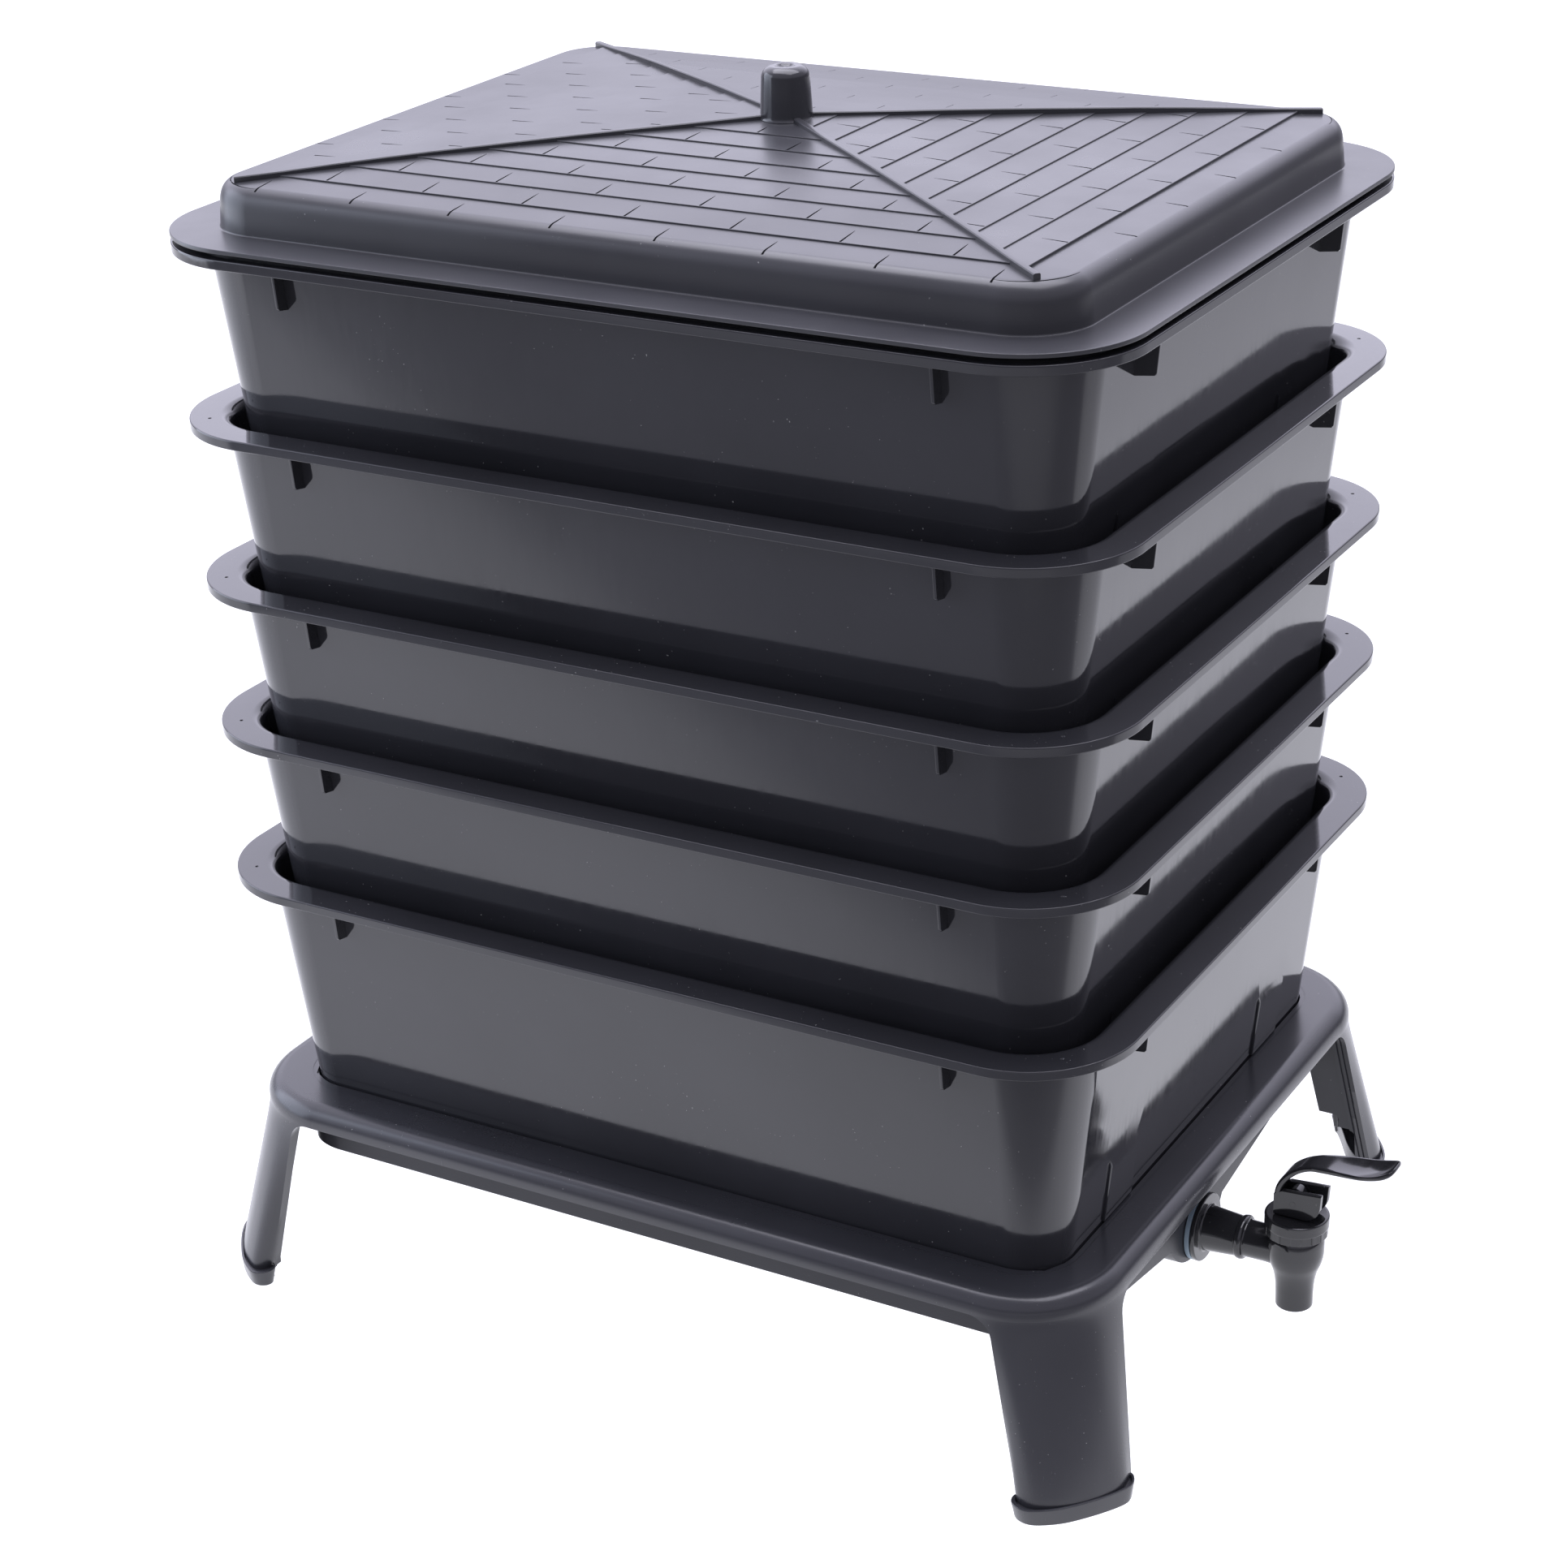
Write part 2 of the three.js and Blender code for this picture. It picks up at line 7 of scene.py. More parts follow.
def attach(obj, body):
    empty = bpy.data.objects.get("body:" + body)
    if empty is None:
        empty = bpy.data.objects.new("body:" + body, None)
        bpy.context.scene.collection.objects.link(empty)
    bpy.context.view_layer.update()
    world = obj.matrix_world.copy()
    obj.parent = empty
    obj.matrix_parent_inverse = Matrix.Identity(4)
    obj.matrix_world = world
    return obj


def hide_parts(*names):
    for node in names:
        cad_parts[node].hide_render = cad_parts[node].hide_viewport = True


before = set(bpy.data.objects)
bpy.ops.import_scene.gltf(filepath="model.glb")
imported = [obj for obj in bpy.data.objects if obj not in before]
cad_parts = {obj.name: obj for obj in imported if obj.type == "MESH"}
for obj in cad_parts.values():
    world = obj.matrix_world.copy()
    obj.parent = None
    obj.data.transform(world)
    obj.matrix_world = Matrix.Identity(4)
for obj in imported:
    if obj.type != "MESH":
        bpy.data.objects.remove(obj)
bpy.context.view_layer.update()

# Everything below is laid out in millimetres about the tray axis; OX shifts it
# to the row frame, whose origin is the middle of the whole object's box.
OX = 28.7
MM = 0.001

TRAY_A, TRAY_B, TRAY_R, TRAY_H = 217.5, 169.9, 48.5, 116.0
DRAFT, WALL_OUT, WALL_IN, FLOOR_T = 0.115, 15.2, 17.5, 2.4
TRAY_TOPS = [201.8, 272.6, 339.4, 410.7, 487.1]
BASE_A, BASE_B, BASE_R = 213.5, 167.5, 46.0
LID_Z, ROOF_Z, APEX_Z = 491.4, 510.5, 523.7
TAP_Z, TAP_X, PIN_Z = 42.7, 240.5, 69.1


# ------------------------------------------------------------------ mesh kit
def bez(p, c, q, n, first=True):
    """Quadratic curve from p to q, pulled towards c."""
    out = []
    for i in range(0 if first else 1, n + 1):
        t = i / n
        out.append(tuple((1 - t) ** 2 * a + 2 * t * (1 - t) * b + t * t * d for a, b, d in zip(p, c, q)))
    return out


def arc(cx, cy, r, a0, a1, n):
    return [(cx + r * math.cos(math.radians(a0 + (a1 - a0) * i / n)),
             cy + r * math.sin(math.radians(a0 + (a1 - a0) * i / n))) for i in range(n + 1)]


def outline(a, b, r, nc=24, nx=10, ny=8):
    """Rounded rectangle, counter-clockwise, with points along its straight sides too."""
    r = max(r, 1.0)
    pts = []
    cs = [(a - r, b - r, 0), (r - a, b - r, 90), (r - a, r - b, 180), (a - r, r - b, 270)]
    for k, (cx, cy, a0) in enumerate(cs):
        pts += arc(cx, cy, r, a0, a0 + 90, nc)
        nxt = cs[(k + 1) % 4]
        p = pts[-1]
        t = math.radians(nxt[2])
        q = (nxt[0] + r * math.cos(t), nxt[1] + r * math.sin(t))
        m = nx if k % 2 == 0 else ny
        pts += [(p[0] + (q[0] - p[0]) * i / m, p[1] + (q[1] - p[1]) * i / m) for i in range(1, m)]
    return np.array(pts)


def rings_of(a, b, r, profile, z0=0.0, **kw):
    out = []
    for inset, z in profile:
        o = outline(a - inset, b - inset, r - inset, **kw)
        out.append(np.column_stack([o, np.full(len(o), z + z0)]))
    return out


def loft(rings, mode="caps"):
    """(verts, faces) of a closed surface through rings of equal length."""
    m, n = len(rings[0]), len(rings)
    v = np.vstack(rings)
    f = []
    for s in range(n if mode == "torus" else n - 1):
        a, b = s * m, ((s + 1) % n) * m
        f += [(a + i, a + (i + 1) % m, b + (i + 1) % m, b + i) for i in range(m)]
    if mode == "caps":
        f.append(tuple(range(m))[::-1])
        f.append(tuple(range((n - 1) * m, n * m)))
    return v, f


def turned(profile, seg=64, axis="z", at=(0, 0, 0)):
    """Turned solid from [radius, height] points; radius 0 ends close it."""
    v, f, rows = [], [], []
    for r, z in profile:
        if r < 1e-6:
            rows.append([len(v)])
            v.append((0, 0, z))
        else:
            rows.append(list(range(len(v), len(v) + seg)))
            v += [(r * math.cos(2 * math.pi * i / seg), r * math.sin(2 * math.pi * i / seg), z) for i in range(seg)]
    pairs = list(zip(rows[:-1], rows[1:]))
    if len(rows[0]) > 1 and len(rows[-1]) > 1:
        pairs.append((rows[-1], rows[0]))
    for a, b in pairs:
        for i in range(seg):
            j = (i + 1) % seg
            if len(a) == 1 and len(b) == 1:
                continue
            if len(a) == 1:
                f.append((a[0], b[j], b[i]))
            elif len(b) == 1:
                f.append((a[i], a[j], b[0]))
            else:
                f.append((a[i], a[j], b[j], b[i]))
    v = np.array(v, float)
    if axis == "x":
        v = v[:, [2, 0, 1]]
    return v + np.array(at, float), f


def prism(points, axis, w0, w1):
    """Flat outline pushed straight through; axis says which way the thickness runs."""
    n = len(points)
    v = []
    for w in (w0, w1):
        for p, q in points:
            v.append({"x": (w, p, q), "y": (p, w, q), "z": (p, q, w)}[axis])
    f = [(i, (i + 1) % n, n + (i + 1) % n, n + i) for i in range(n)]
    f.append(tuple(range(n))[::-1])
    f.append(tuple(range(n, 2 * n)))
    return np.array(v, float), f


def merged(parts):
    v, f, k = [], [], 0
    for pv, pf in parts:
        v.append(np.asarray(pv, float))
        f += [tuple(i + k for i in face) for face in pf]
        k += len(pv)
    return np.vstack(v), f


def mirror(part, sx, sy):
    v, f = part
    v = np.asarray(v, float) * np.array([sx, sy, 1.0])
    if sx * sy < 0:
        f = [face[::-1] for face in f]
    return v, f


def four(part):
    return merged([mirror(part, sx, sy) for sx, sy in ((1, 1), (-1, 1), (-1, -1), (1, -1))])


def new_mesh(name, part, shift=(0, 0, 0)):
    """Object in the row frame, in metres, faces turned outwards."""
    v, f = part
    v = (np.asarray(v, float) + np.array([-OX, 0, 0]) + np.array(shift)) * MM
    me = bpy.data.meshes.new(name)
    me.from_pydata([tuple(p) for p in v], [], f)
    me.validate()
    me.update()
    o = bpy.data.objects.new(name, me)
    bpy.context.scene.collection.objects.link(o)
    fix_normals(me)
    return o


def fix_normals(me):
    import bmesh
    bm = bmesh.new()
    bm.from_mesh(me)
    bmesh.ops.remove_doubles(bm, verts=bm.verts, dist=1e-7)
    bmesh.ops.recalc_face_normals(bm, faces=bm.faces)
    bm.to_mesh(me)
    bm.free()


def baked(o):
    """Applies an object's modifiers."""
    dg = bpy.context.evaluated_depsgraph_get()
    me = bpy.data.meshes.new_from_object(o.evaluated_get(dg))
    o.modifiers.clear()
    old = o.data
    me.name = old.name + "_m"
    o.data = me
    bpy.data.meshes.remove(old)
    return o


def bevel(o, width, seg=2, angle=40):
    m = o.modifiers.new("bevel", "BEVEL")
    m.width, m.segments, m.limit_method, m.angle_limit = width * MM, seg, "ANGLE", math.radians(angle)
    m.harden_normals = False
    return baked(o)


def boolean(o, other, op, keep=False):
    m = o.modifiers.new("b", "BOOLEAN")
    m.object, m.operation, m.solver = other, op, "MANIFOLD"
    n0 = len(o.data.vertices)
    baked(o)
    if not keep:
        bpy.data.objects.remove(other)
    if len(o.data.vertices) == 0:
        raise RuntimeError(f"{o.name}: {op} left nothing (of {n0})")
    return o


def shade(o, angle=32, weighted=True):
    for p in o.data.polygons:
        p.use_smooth = True
    o.data.set_sharp_from_angle(angle=math.radians(angle))
    if weighted:
        m = o.modifiers.new("normals", "WEIGHTED_NORMAL")
        m.mode, m.weight, m.keep_sharp = "FACE_AREA", 60, True
    return o


# ----------------------------------------------------------------- materials
class Mat:
    """Small helper to wire node materials."""

    def __init__(self, name):
        self.m = bpy.data.materials.new(name)
        self.m.use_nodes = True
        self.t = self.m.node_tree
        self.n = self.t.nodes
        self.n.clear()
        self.out = self.n.new("ShaderNodeOutputMaterial")
        self.b = self.n.new("ShaderNodeBsdfPrincipled")
        self.t.links.new(self.b.outputs[0], self.out.inputs[0])
        self.tc = self.n.new("ShaderNodeTexCoord")

    def link(self, a, b):
        self.t.links.new(a, b)

    def mapped(self, scale, rot=(0, 0, 0)):
        mp = self.n.new("ShaderNodeMapping")
        mp.inputs["Scale"].default_value = scale
        mp.inputs["Rotation"].default_value = rot
        self.link(self.tc.outputs["Object"], mp.inputs["Vector"])
        return mp.outputs["Vector"]

    def noise(self, scale, detail=3.0, rough=0.5, vec=None, distortion=0.0):
        n = self.n.new("ShaderNodeTexNoise")
        n.inputs["Scale"].default_value = scale
        n.inputs["Detail"].default_value = detail
        n.inputs["Roughness"].default_value = rough
        n.inputs["Distortion"].default_value = distortion
        self.link(vec if vec is not None else self.tc.outputs["Object"], n.inputs["Vector"])
        return n.outputs["Fac"]

    def rng(self, src, a, b, c, d, smooth=False):
        n = self.n.new("ShaderNodeMapRange")
        n.clamp = True
        n.interpolation_type = "SMOOTHSTEP" if smooth else "LINEAR"
        for k, v in (("From Min", a), ("From Max", b), ("To Min", c), ("To Max", d)):
            n.inputs[k].default_value = v
        self.link(src, n.inputs["Value"])
        return n.outputs["Result"]

    def math(self, op, a, b=None, clamp=False):
        n = self.n.new("ShaderNodeMath")
        n.operation, n.use_clamp = op, clamp
        for i, x in enumerate((a, b)):
            if x is None:
                continue
            if isinstance(x, (int, float)):
                n.inputs[i].default_value = x
            else:
                self.link(x, n.inputs[i])
        return n.outputs[0]

    def mix(self, fac, a, b):
        n = self.n.new("ShaderNodeMix")
        n.data_type = "RGBA"
        self.link(fac, n.inputs[0])
        for i, x in ((6, a), (7, b)):
            if isinstance(x, tuple):
                n.inputs[i].default_value = (*x, 1.0)
            else:
                self.link(x, n.inputs[i])
        return n.outputs[2]

    def bump(self, height, strength, distance, normal=None):
        n = self.n.new("ShaderNodeBump")
        n.inputs["Strength"].default_value = strength
        n.inputs["Distance"].default_value = distance
        self.link(height, n.inputs["Height"])
        if normal is not None:
            self.link(normal, n.inputs["Normal"])
        return n.outputs["Normal"]


def plastic(name, colour, rough, grain=0.3, streak=0.5, waves=1.0, specks=1.0, ior=1.5, coat=0.0):
    """Black moulded plastic: soft waviness of the moulded walls, faint draw marks, fine grain and dust."""
    m = Mat(name)
    b = m.b
    b.inputs["IOR"].default_value = ior
    if coat:
        b.inputs["Coat Weight"].default_value = coat
        b.inputs["Coat Roughness"].default_value = 0.06
    # colour: slow mottling and pale dust specks
    mott = m.noise(9.0, 4.0, 0.55)
    base = m.mix(m.rng(mott, 0.35, 0.7, 0.0, 1.0), tuple(c * 0.88 for c in colour), tuple(c * 1.18 for c in colour))
    fine = m.noise(950.0, 1.0, 0.4)
    dots = m.rng(fine, 0.775, 0.80, 0.0, 1.0)
    gate = m.rng(m.noise(26.0, 2.0, 0.5), 0.50, 0.62, 0.0, 1.0)
    dust = m.math("MULTIPLY", dots, gate)
    base = m.mix(m.math("MULTIPLY", dust, 0.55 * specks), base, (0.42, 0.42, 0.40))
    m.link(base, b.inputs["Base Color"])
    # roughness: patches, vertical draw marks
    draw = m.noise(1.0, 2.0, 0.6, m.mapped((420, 420, 7)))
    patch = m.noise(14.0, 3.0, 0.6)
    r = m.math("ADD", m.rng(patch, 0.3, 0.72, rough * 0.86, rough * 1.16), m.rng(draw, 0.35, 0.7, -0.02 * streak, 0.03 * streak))
    r = m.math("ADD", r, m.math("MULTIPLY", dust, 0.4))
    m.link(r, b.inputs["Roughness"])
    # bump: long waves from uneven cooling, fine grain, draw marks
    nrm = m.bump(m.noise(17.0, 2.0, 0.45), 0.5, 0.00022 * waves)
    nrm = m.bump(draw, 0.5, 0.000012 * streak, nrm)
    nrm = m.bump(m.noise(1500.0, 2.0, 0.5), 0.5, 0.00002 * grain, nrm)
    m.link(nrm, b.inputs["Normal"])
    return m.m


MAT_TRAY = plastic("tray_black", (0.0225, 0.0228, 0.026), 0.085, grain=0.12, streak=1.0, waves=1.0)
MAT_BASE = plastic("base_black", (0.0265, 0.027, 0.031), 0.24, grain=0.4, streak=0.5)
MAT_LID = plastic("lid_black", (0.0265, 0.0268, 0.0305), 0.31, grain=1.0, streak=0.1, waves=0.6)
MAT_TAP = plastic("tap_black", (0.013, 0.0132, 0.0145), 0.10, grain=0.05, streak=0.0, waves=0.4, specks=0.5)
# painted shade: darker colour and weaker reflection (lower IOR) for the sump under the deck, in place of the shadow
# there
MAT_SUMP_SHADE = plastic("sump_painted_shade", (0.024, 0.0244, 0.028), 0.38, grain=1.0, streak=0.2, ior=1.34)
MAT_KNOB = plastic("knob_black", (0.024, 0.0243, 0.0275), 0.15, grain=0.2, streak=0.0, waves=0.5)
MAT_SEAL = plastic("seal_grey", (0.16, 0.21, 0.25), 0.55, grain=0.6, streak=0.0, waves=0.3, specks=0.3, ior=1.42)
MAT_CUP = plastic("cup_white", (0.62, 0.63, 0.61), 0.5, grain=0.3, streak=0.0, waves=0.2, specks=0.0, ior=1.42)


def piece(o, body, nodes, mat):
    o.data.materials.clear()
    o.data.materials.append(mat)
    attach(o, body)
    for n in nodes:
        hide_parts(n)
    return o


# --------------------------------------------------------------------- trays
def wall_out(h):
    return WALL_OUT + DRAFT * h


def wall_in(h):
    return WALL_IN + DRAFT * h


def tray_part():
    H = TRAY_H
    prof = []
    prof += bez((34.2, -H), (28.7, -H), (wall_out(H - 8), 8 - H), 8)
    prof += [(wall_out(h), -h) for h in (90, 60, 30, 10)]
    prof += bez((wall_out(4.0), -4.0), (wall_out(2.4), -2.4), (13.7, -2.4), 5)
    prof += [(8.0, -2.4)]
    prof += bez((2.8, -2.4), (1.7, -2.4), (1.7, -3.3), 4)
    prof += bez((1.7, -3.8), (1.7, -4.2), (1.3, -4.2), 3)
    prof += bez((0.45, -4.2), (0.0, -4.2), (0.0, -3.75), 3)
    prof += bez((0.0, -0.75), (0.0, 0.0), (0.75, 0.0), 5)
    prof += [(7.0, 0.0)]
    prof += bez((13.0, 0.0), (16.9, 0.0), (wall_in(4.6), -4.6), 9)
    prof += [(wall_in(h), -h) for h in (12, 40, 75)]
    prof += bez((wall_in(H - 9.5), 9.5 - H), (wall_in(H - 2.4), FLOOR_T - H), (38.0, FLOOR_T - H), 8)
    body = loft(rings_of(TRAY_A, TRAY_B, TRAY_R, prof))
    o = new_mesh("tray_form", body)
    # thin gussets below the flange, two on each side
    def gusset(half, more):
        return [(half - 9.5 + more, -1.8), (half - 11.5 + more, -21.0), (half - 12.3 + more, -22.0), (half - 19.2, -23.2), (half - 16.4, -1.8)]
    plates = [four(prism(gusset(TRAY_B, 0.0), "x", 148.3, 149.7)), four(prism(gusset(TRAY_A, 2.8), "y", 92.3, 93.7))]
    g = bevel(new_mesh("gussets", merged(plates)), 0.22, 2)
    boolean(o, g, "UNION")
    # wedge pads low on the end walls
    def pad():
        a = TRAY_A
        outer = [(a - wall_out(74) - 1.3, -73.5), (a - wall_out(79) + 1.1, -79), (a - wall_out(107) + 1.1, -107), (a - wall_out(107) - 1.1, -107)]
        return prism(outer, "y", 66, 94)
    p = bevel(new_mesh("pads", four(pad())), 0.8, 4, 30)
    boolean(o, p, "UNION")
    # small sink pit on each corner of the flange
    boolean(o, new_mesh("pits", four(turned([(0, -0.5), (0.5, -0.45), (0.95, 0.1), (1.2, 1.0), (0, 1.0)], 16, "z", (197.6, 149.4, 0)))), "DIFFERENCE")
    holes = []
    for i in range(8):
        for j in range(5):
            x, y = (i - 3.5) * 46, (j - 2) * 54
            holes.append(prism([(x - 4, y - 4), (x + 4, y - 4), (x + 4, y + 4), (x - 4, y + 4)], "z", -H - 3, -H + 6))
    boolean(o, new_mesh("holes", merged(holes)), "DIFFERENCE")
    return o


form = tray_part()
for k, top in enumerate(TRAY_TOPS):
    me = form.data.copy()
    me.transform(Matrix.Translation((0, 0, top * MM)))
    me.name = f"tray_{k + 1}_shell"
    o = bpy.data.objects.new(me.name, me)
    bpy.context.scene.collection.objects.link(o)
    shade(o, 35)
    piece(o, f"tray_{k + 1}", [f"tray_{k + 1}"], MAT_TRAY)
bpy.data.objects.remove(form)


# ----------------------------------------------------------------------- lid
HIP = 138.3 / 181.2
FRONT = [(0.0, 523.3), (24.7, 521.4), (42.3, 520.3), (59.2, 519.0), (76.3, 517.5), (94.0, 516.0), (110.8, 514.1), (128.1, 511.8), (141.7, 510.5)]
ROWS_F = [24.7, 42.3, 59.2, 76.3, 94.0, 110.8, 128.1]
ROWS_R = [17.7, 35.0, 52.1, 69.4, 86.8, 104.2, 121.6, 139.0, 156.2, 173.4]
STEP = 0.55


def z_front(y):
    return float(np.interp(y, [p[0] for p in FRONT], [p[1] for p in FRONT]))


def z_right(x):
    return min(510.6 + (190.8 - x) * 0.0687, 523.3)


def z_shell(s):
    return min(z_front(s), z_right(s / HIP))


def hexa(lower, upper):
    """Closed six-sided block from four lower and four upper corners, both counter-clockwise."""
    v = np.array(list(lower) + list(upper), float)
    f = [(3, 2, 1, 0), (4, 5, 6, 7)] + [(i, (i + 1) % 4, 4 + (i + 1) % 4, 4 + i) for i in range(4)]
    return v, f


def courses(side, first, rows):
    """All courses of one roof side: each flush at its upper edge, a small step at its lower edge."""
    zf = z_front if side == "front" else z_right
    k = 1 / HIP if side == "front" else HIP
    pts = []
    for t0, t1 in zip([first] + rows[:-1], rows):
        pts += [(t0, zf(t0) + 0.04), (t1 - 0.12, zf(t1) + STEP), (t1, zf(t1) + STEP - 0.14)]
    pts += [(t, zf(t) - 1.6) for t in rows[::-1] + [first]]
    m = len(pts)
    v = np.array([(-k * t, t, z) for t, z in pts] + [(k * t, t, z) for t, z in pts], float)
    f = [(i, (i + 1) % m, m + (i + 1) % m, m + i) for i in range(m)]
    f += [tuple(range(m))[::-1], tuple(range(m, 2 * m))]
    if side == "right":
        v = v[:, [1, 0, 2]]
        f = [q[::-1] for q in f]
    return v, f


def slit(side, at, t1, length, surface, wide=1.0):
    """Tapering joint between two tiles, deepest at the lower edge of the course."""
    zf = z_front if side == "front" else z_right
    t0 = t1 - length
    rows = []
    for t, half, depth in ((t0, 0.08, -0.05), (t1 - 0.62 * length, 0.34 * wide, 1.1 * wide), (t1 - 0.5, 0.5 * wide, 1.9 * wide)):
        up = zf(t) + (STEP * (1 - (t1 - t) / 17.3) if surface else 0.0)
        rows.append([(at - half, t, up - depth), (at + half, t, up - depth), (at + half, t, up + 3), (at - half, t, up + 3)])
    v = np.array([p for r in rows for p in r], float)
    f = [(0, 1, 2, 3), (11, 10, 9, 8)]
    for s in (0, 4):
        f += [(s + i, s + 4 + i, s + 4 + (i + 1) % 4, s + (i + 1) % 4) for i in range(4)]
    if side == "right":
        v = v[:, [1, 0, 2]]
    return v, f


def lid_part():
    n = dict(nc=24, nx=10, ny=8)
    zi = ROOF_Z - 2.2

    def ring(s, r, dz):
        o = outline(s / HIP, s, r, **n)
        return np.column_stack([o, np.full(len(o), z_shell(s) + dz)])

    u = LID_Z - 1.75
    prof = [(30.6, zi), (26.4, 506.0), (24.2, 501.7), (23.2, 491.0), (21.8, 481.3), (21.5, 481.0), (19.9, 481.0), (19.6, 481.3), (19.6, u),
            (13.0, u), (12.6, 487.45), (11.4, 487.45), (11.0, u), (0.5, u)]
    prof += bez((0.15, u), (0, u), (0, u + 0.35), 3)
    prof += bez((0, LID_Z - 0.5), (0, LID_Z), (0.5, LID_Z), 3)
    prof += [(6.0, LID_Z), (19.6, LID_Z)]
    prof += bez((20.3, LID_Z), (20.95, LID_Z), (21.02, LID_Z + 0.7), 4)
    prof += [(21.5, 498.0)]
    prof += bez((21.75, 501.4), (22.3, 509.5), (28.2, ROOF_Z), 12)
    rings = [ring(3, 1, -2.7), ring(60, 2, -2.7), ring(110, 4, -2.7)]
    rings += rings_of(TRAY_A, TRAY_B, TRAY_R, prof, **n)
    rings += [ring(134, 13, -0.02), ring(128.1, 8, -0.05), ring(116, 4, -0.3), ring(88, 2, -0.3), ring(60, 2, -0.3), ring(30, 1.5, -0.3), ring(3, 1, -0.3)]
    o = new_mesh("lid_form", loft(rings))
    for side, first, rows, turns in (("front", 3.0, ROWS_F, ((1, 1), (1, -1))), ("right", 4.0, ROWS_R, ((1, 1), (-1, 1)))):
        for sx, sy in turns:
            boolean(o, new_mesh("courses", mirror(courses(side, first, rows), sx, sy)), "UNION")
    # ribs down the hips
    turn = math.atan2(138.3, 181.2)
    end = math.hypot(181.2, 138.3)
    c, s_ = math.cos(turn), math.sin(turn)
    stations = np.linspace(6.0, end, 12)
    rv = []
    for d in stations:
        zt = z_front(d * s_) + 2.0
        for w, z in ((-1.5, zt - 4.2), (1.5, zt - 4.2), (1.5, zt - 0.5), (1.15, zt - 0.1), (0.6, zt), (-0.6, zt), (-1.15, zt - 0.1), (-1.5, zt - 0.5)):
            rv.append((d * c - w * s_, d * s_ + w * c, z))
    m = 8
    rf = [tuple(range(m))[::-1], tuple(range(len(rv) - m, len(rv)))]
    for k in range(len(stations) - 1):
        rf += [(k * m + i, k * m + (i + 1) % m, (k + 1) * m + (i + 1) % m, (k + 1) * m + i) for i in range(m)]
    # the ribs meet under the knob, so they are joined one by one
    for sx, sy in ((1, 1), (-1, 1), (-1, -1), (1, -1)):
        boolean(o, new_mesh("rib", mirror((np.array(rv), rf), sx, sy)), "UNION")
    # joints between tiles
    cuts = []
    P = 47.4
    half = lambda k: [(i + 0.5) * P for i in range(-k // 2, k // 2)]
    whole = lambda k: [i * P for i in range(-(k // 2), k // 2 + 1)]
    plan_f = [(145.2, half(8), False), (128.1, whole(7), True), (110.8, half(6), True), (94.0, whole(5), True), (76.3, half(4), True), (59.2, whole(3), True), (42.3, half(2), True), (24.7, whole(1), True)]
    plan_r = [(190.6, half(4), False), (173.4, whole(5), True), (156.2, half(4), True), (139.0, whole(5), True), (121.6, half(4), True), (104.2, whole(3), True), (86.8, half(2), True), (69.4, [-35, 0, 35], True), (52.1, half(2), True), (35.0, [0], True)]
    for side, plan, length in (("front", plan_f, 13.0), ("right", plan_r, 11.4)):
        for t1, xs, surf in plan:
            for x in xs:
                ln = length if t1 > 30 else 9.0
                b = slit(side, x, t1, ln, surf)
                if side == "front":
                    cuts += [mirror(b, 1, -1), slit(side, x, t1, ln * 0.6, surf, 0.4)]
                else:
                    cuts += [b, mirror(b, -1, 1)]
    # curved joint round each corner of the roof
    def corner():
        pts = []
        a0, a1, k = 2.0, 98.0, 22
        for i in range(k + 1):
            a = math.radians(a0 + (a1 - a0) * i / k)
            w = 0.26 * math.sin(math.pi * min(i, k - i) / k + 0.25)
            pts.append((a, max(w, 0.06)))
        vs = []
        for a, w in pts:
            cx, cy = 168.6 + 22 * math.cos(a), 121.2 + 22 * math.sin(a)
            nx_, ny_ = math.cos(a), math.sin(a)
            zb = 509.25
            vs += [(cx - nx_ * w, cy - ny_ * w, zb), (cx + nx_ * w, cy + ny_ * w, zb), (cx + nx_ * w, cy + ny_ * w, 516), (cx - nx_ * w, cy - ny_ * w, 516)]
        f = [(0, 1, 2, 3), tuple(range(len(vs) - 4, len(vs)))[::-1]]
        for s in range(0, len(vs) - 4, 4):
            f += [(s + i, s + 4 + i, s + 4 + (i + 1) % 4, s + (i + 1) % 4) for i in range(4)]
        return np.array(vs), f
    boolean(o, new_mesh("joints", merged(cuts)), "DIFFERENCE")
    boolean(o, new_mesh("corner_joints", four(corner())), "DIFFERENCE")
    # knob, its foot lightly filleted into the roof
    prof = [(0, 519.0), (11.4, 519.0), (11.4, 523.1)] + bez((11.3, 523.3), (10.95, 523.6), (10.88, 524.8), 4)
    prof += [(10.74, 528.5), (10.44, 534.0), (10.16, 539.0)] + bez((10.08, 540.4), (9.95, 543.6), (6.2, KNOB_Z), 10)
    prof += bez((4.6, KNOB_Z), (3.6, KNOB_Z - 0.05), (3.1, KNOB_Z - 0.55), 4)
    prof += bez((2.6, KNOB_Z - 0.9), (1.6, KNOB_Z - 1.2), (0.75, KNOB_Z - 1.2), 3) + [(0.7, KNOB_Z - 0.8), (0.0, KNOB_Z - 0.78)]
    boolean(o, new_mesh("knob", turned(prof, 72)), "UNION")
    return o


KNOB_Z = 544.6
lid = lid_part()
lid.name = lid.data.name = "lid_shell"
shade(lid, 24)
piece(lid, "lid", ["lid"], MAT_LID)
# the knob is polished, the roof is satin
lid.data.materials.append(MAT_KNOB)
for f in lid.data.polygons:
    c = f.center
    if c.z > 0.5234 and math.hypot(c.x + OX * MM, c.y) < 0.0114:
        f.material_index = 1


# ---------------------------------------------------------------------- base
DECK_Z, SKIRT_Z, OPEN_INSET, BOWL_T, BOWL_Z0, BOWL_SLOPE = 94.5, 84.5, 22.1, 2.2, 39.5, 0.16
LEG_T = 2.4


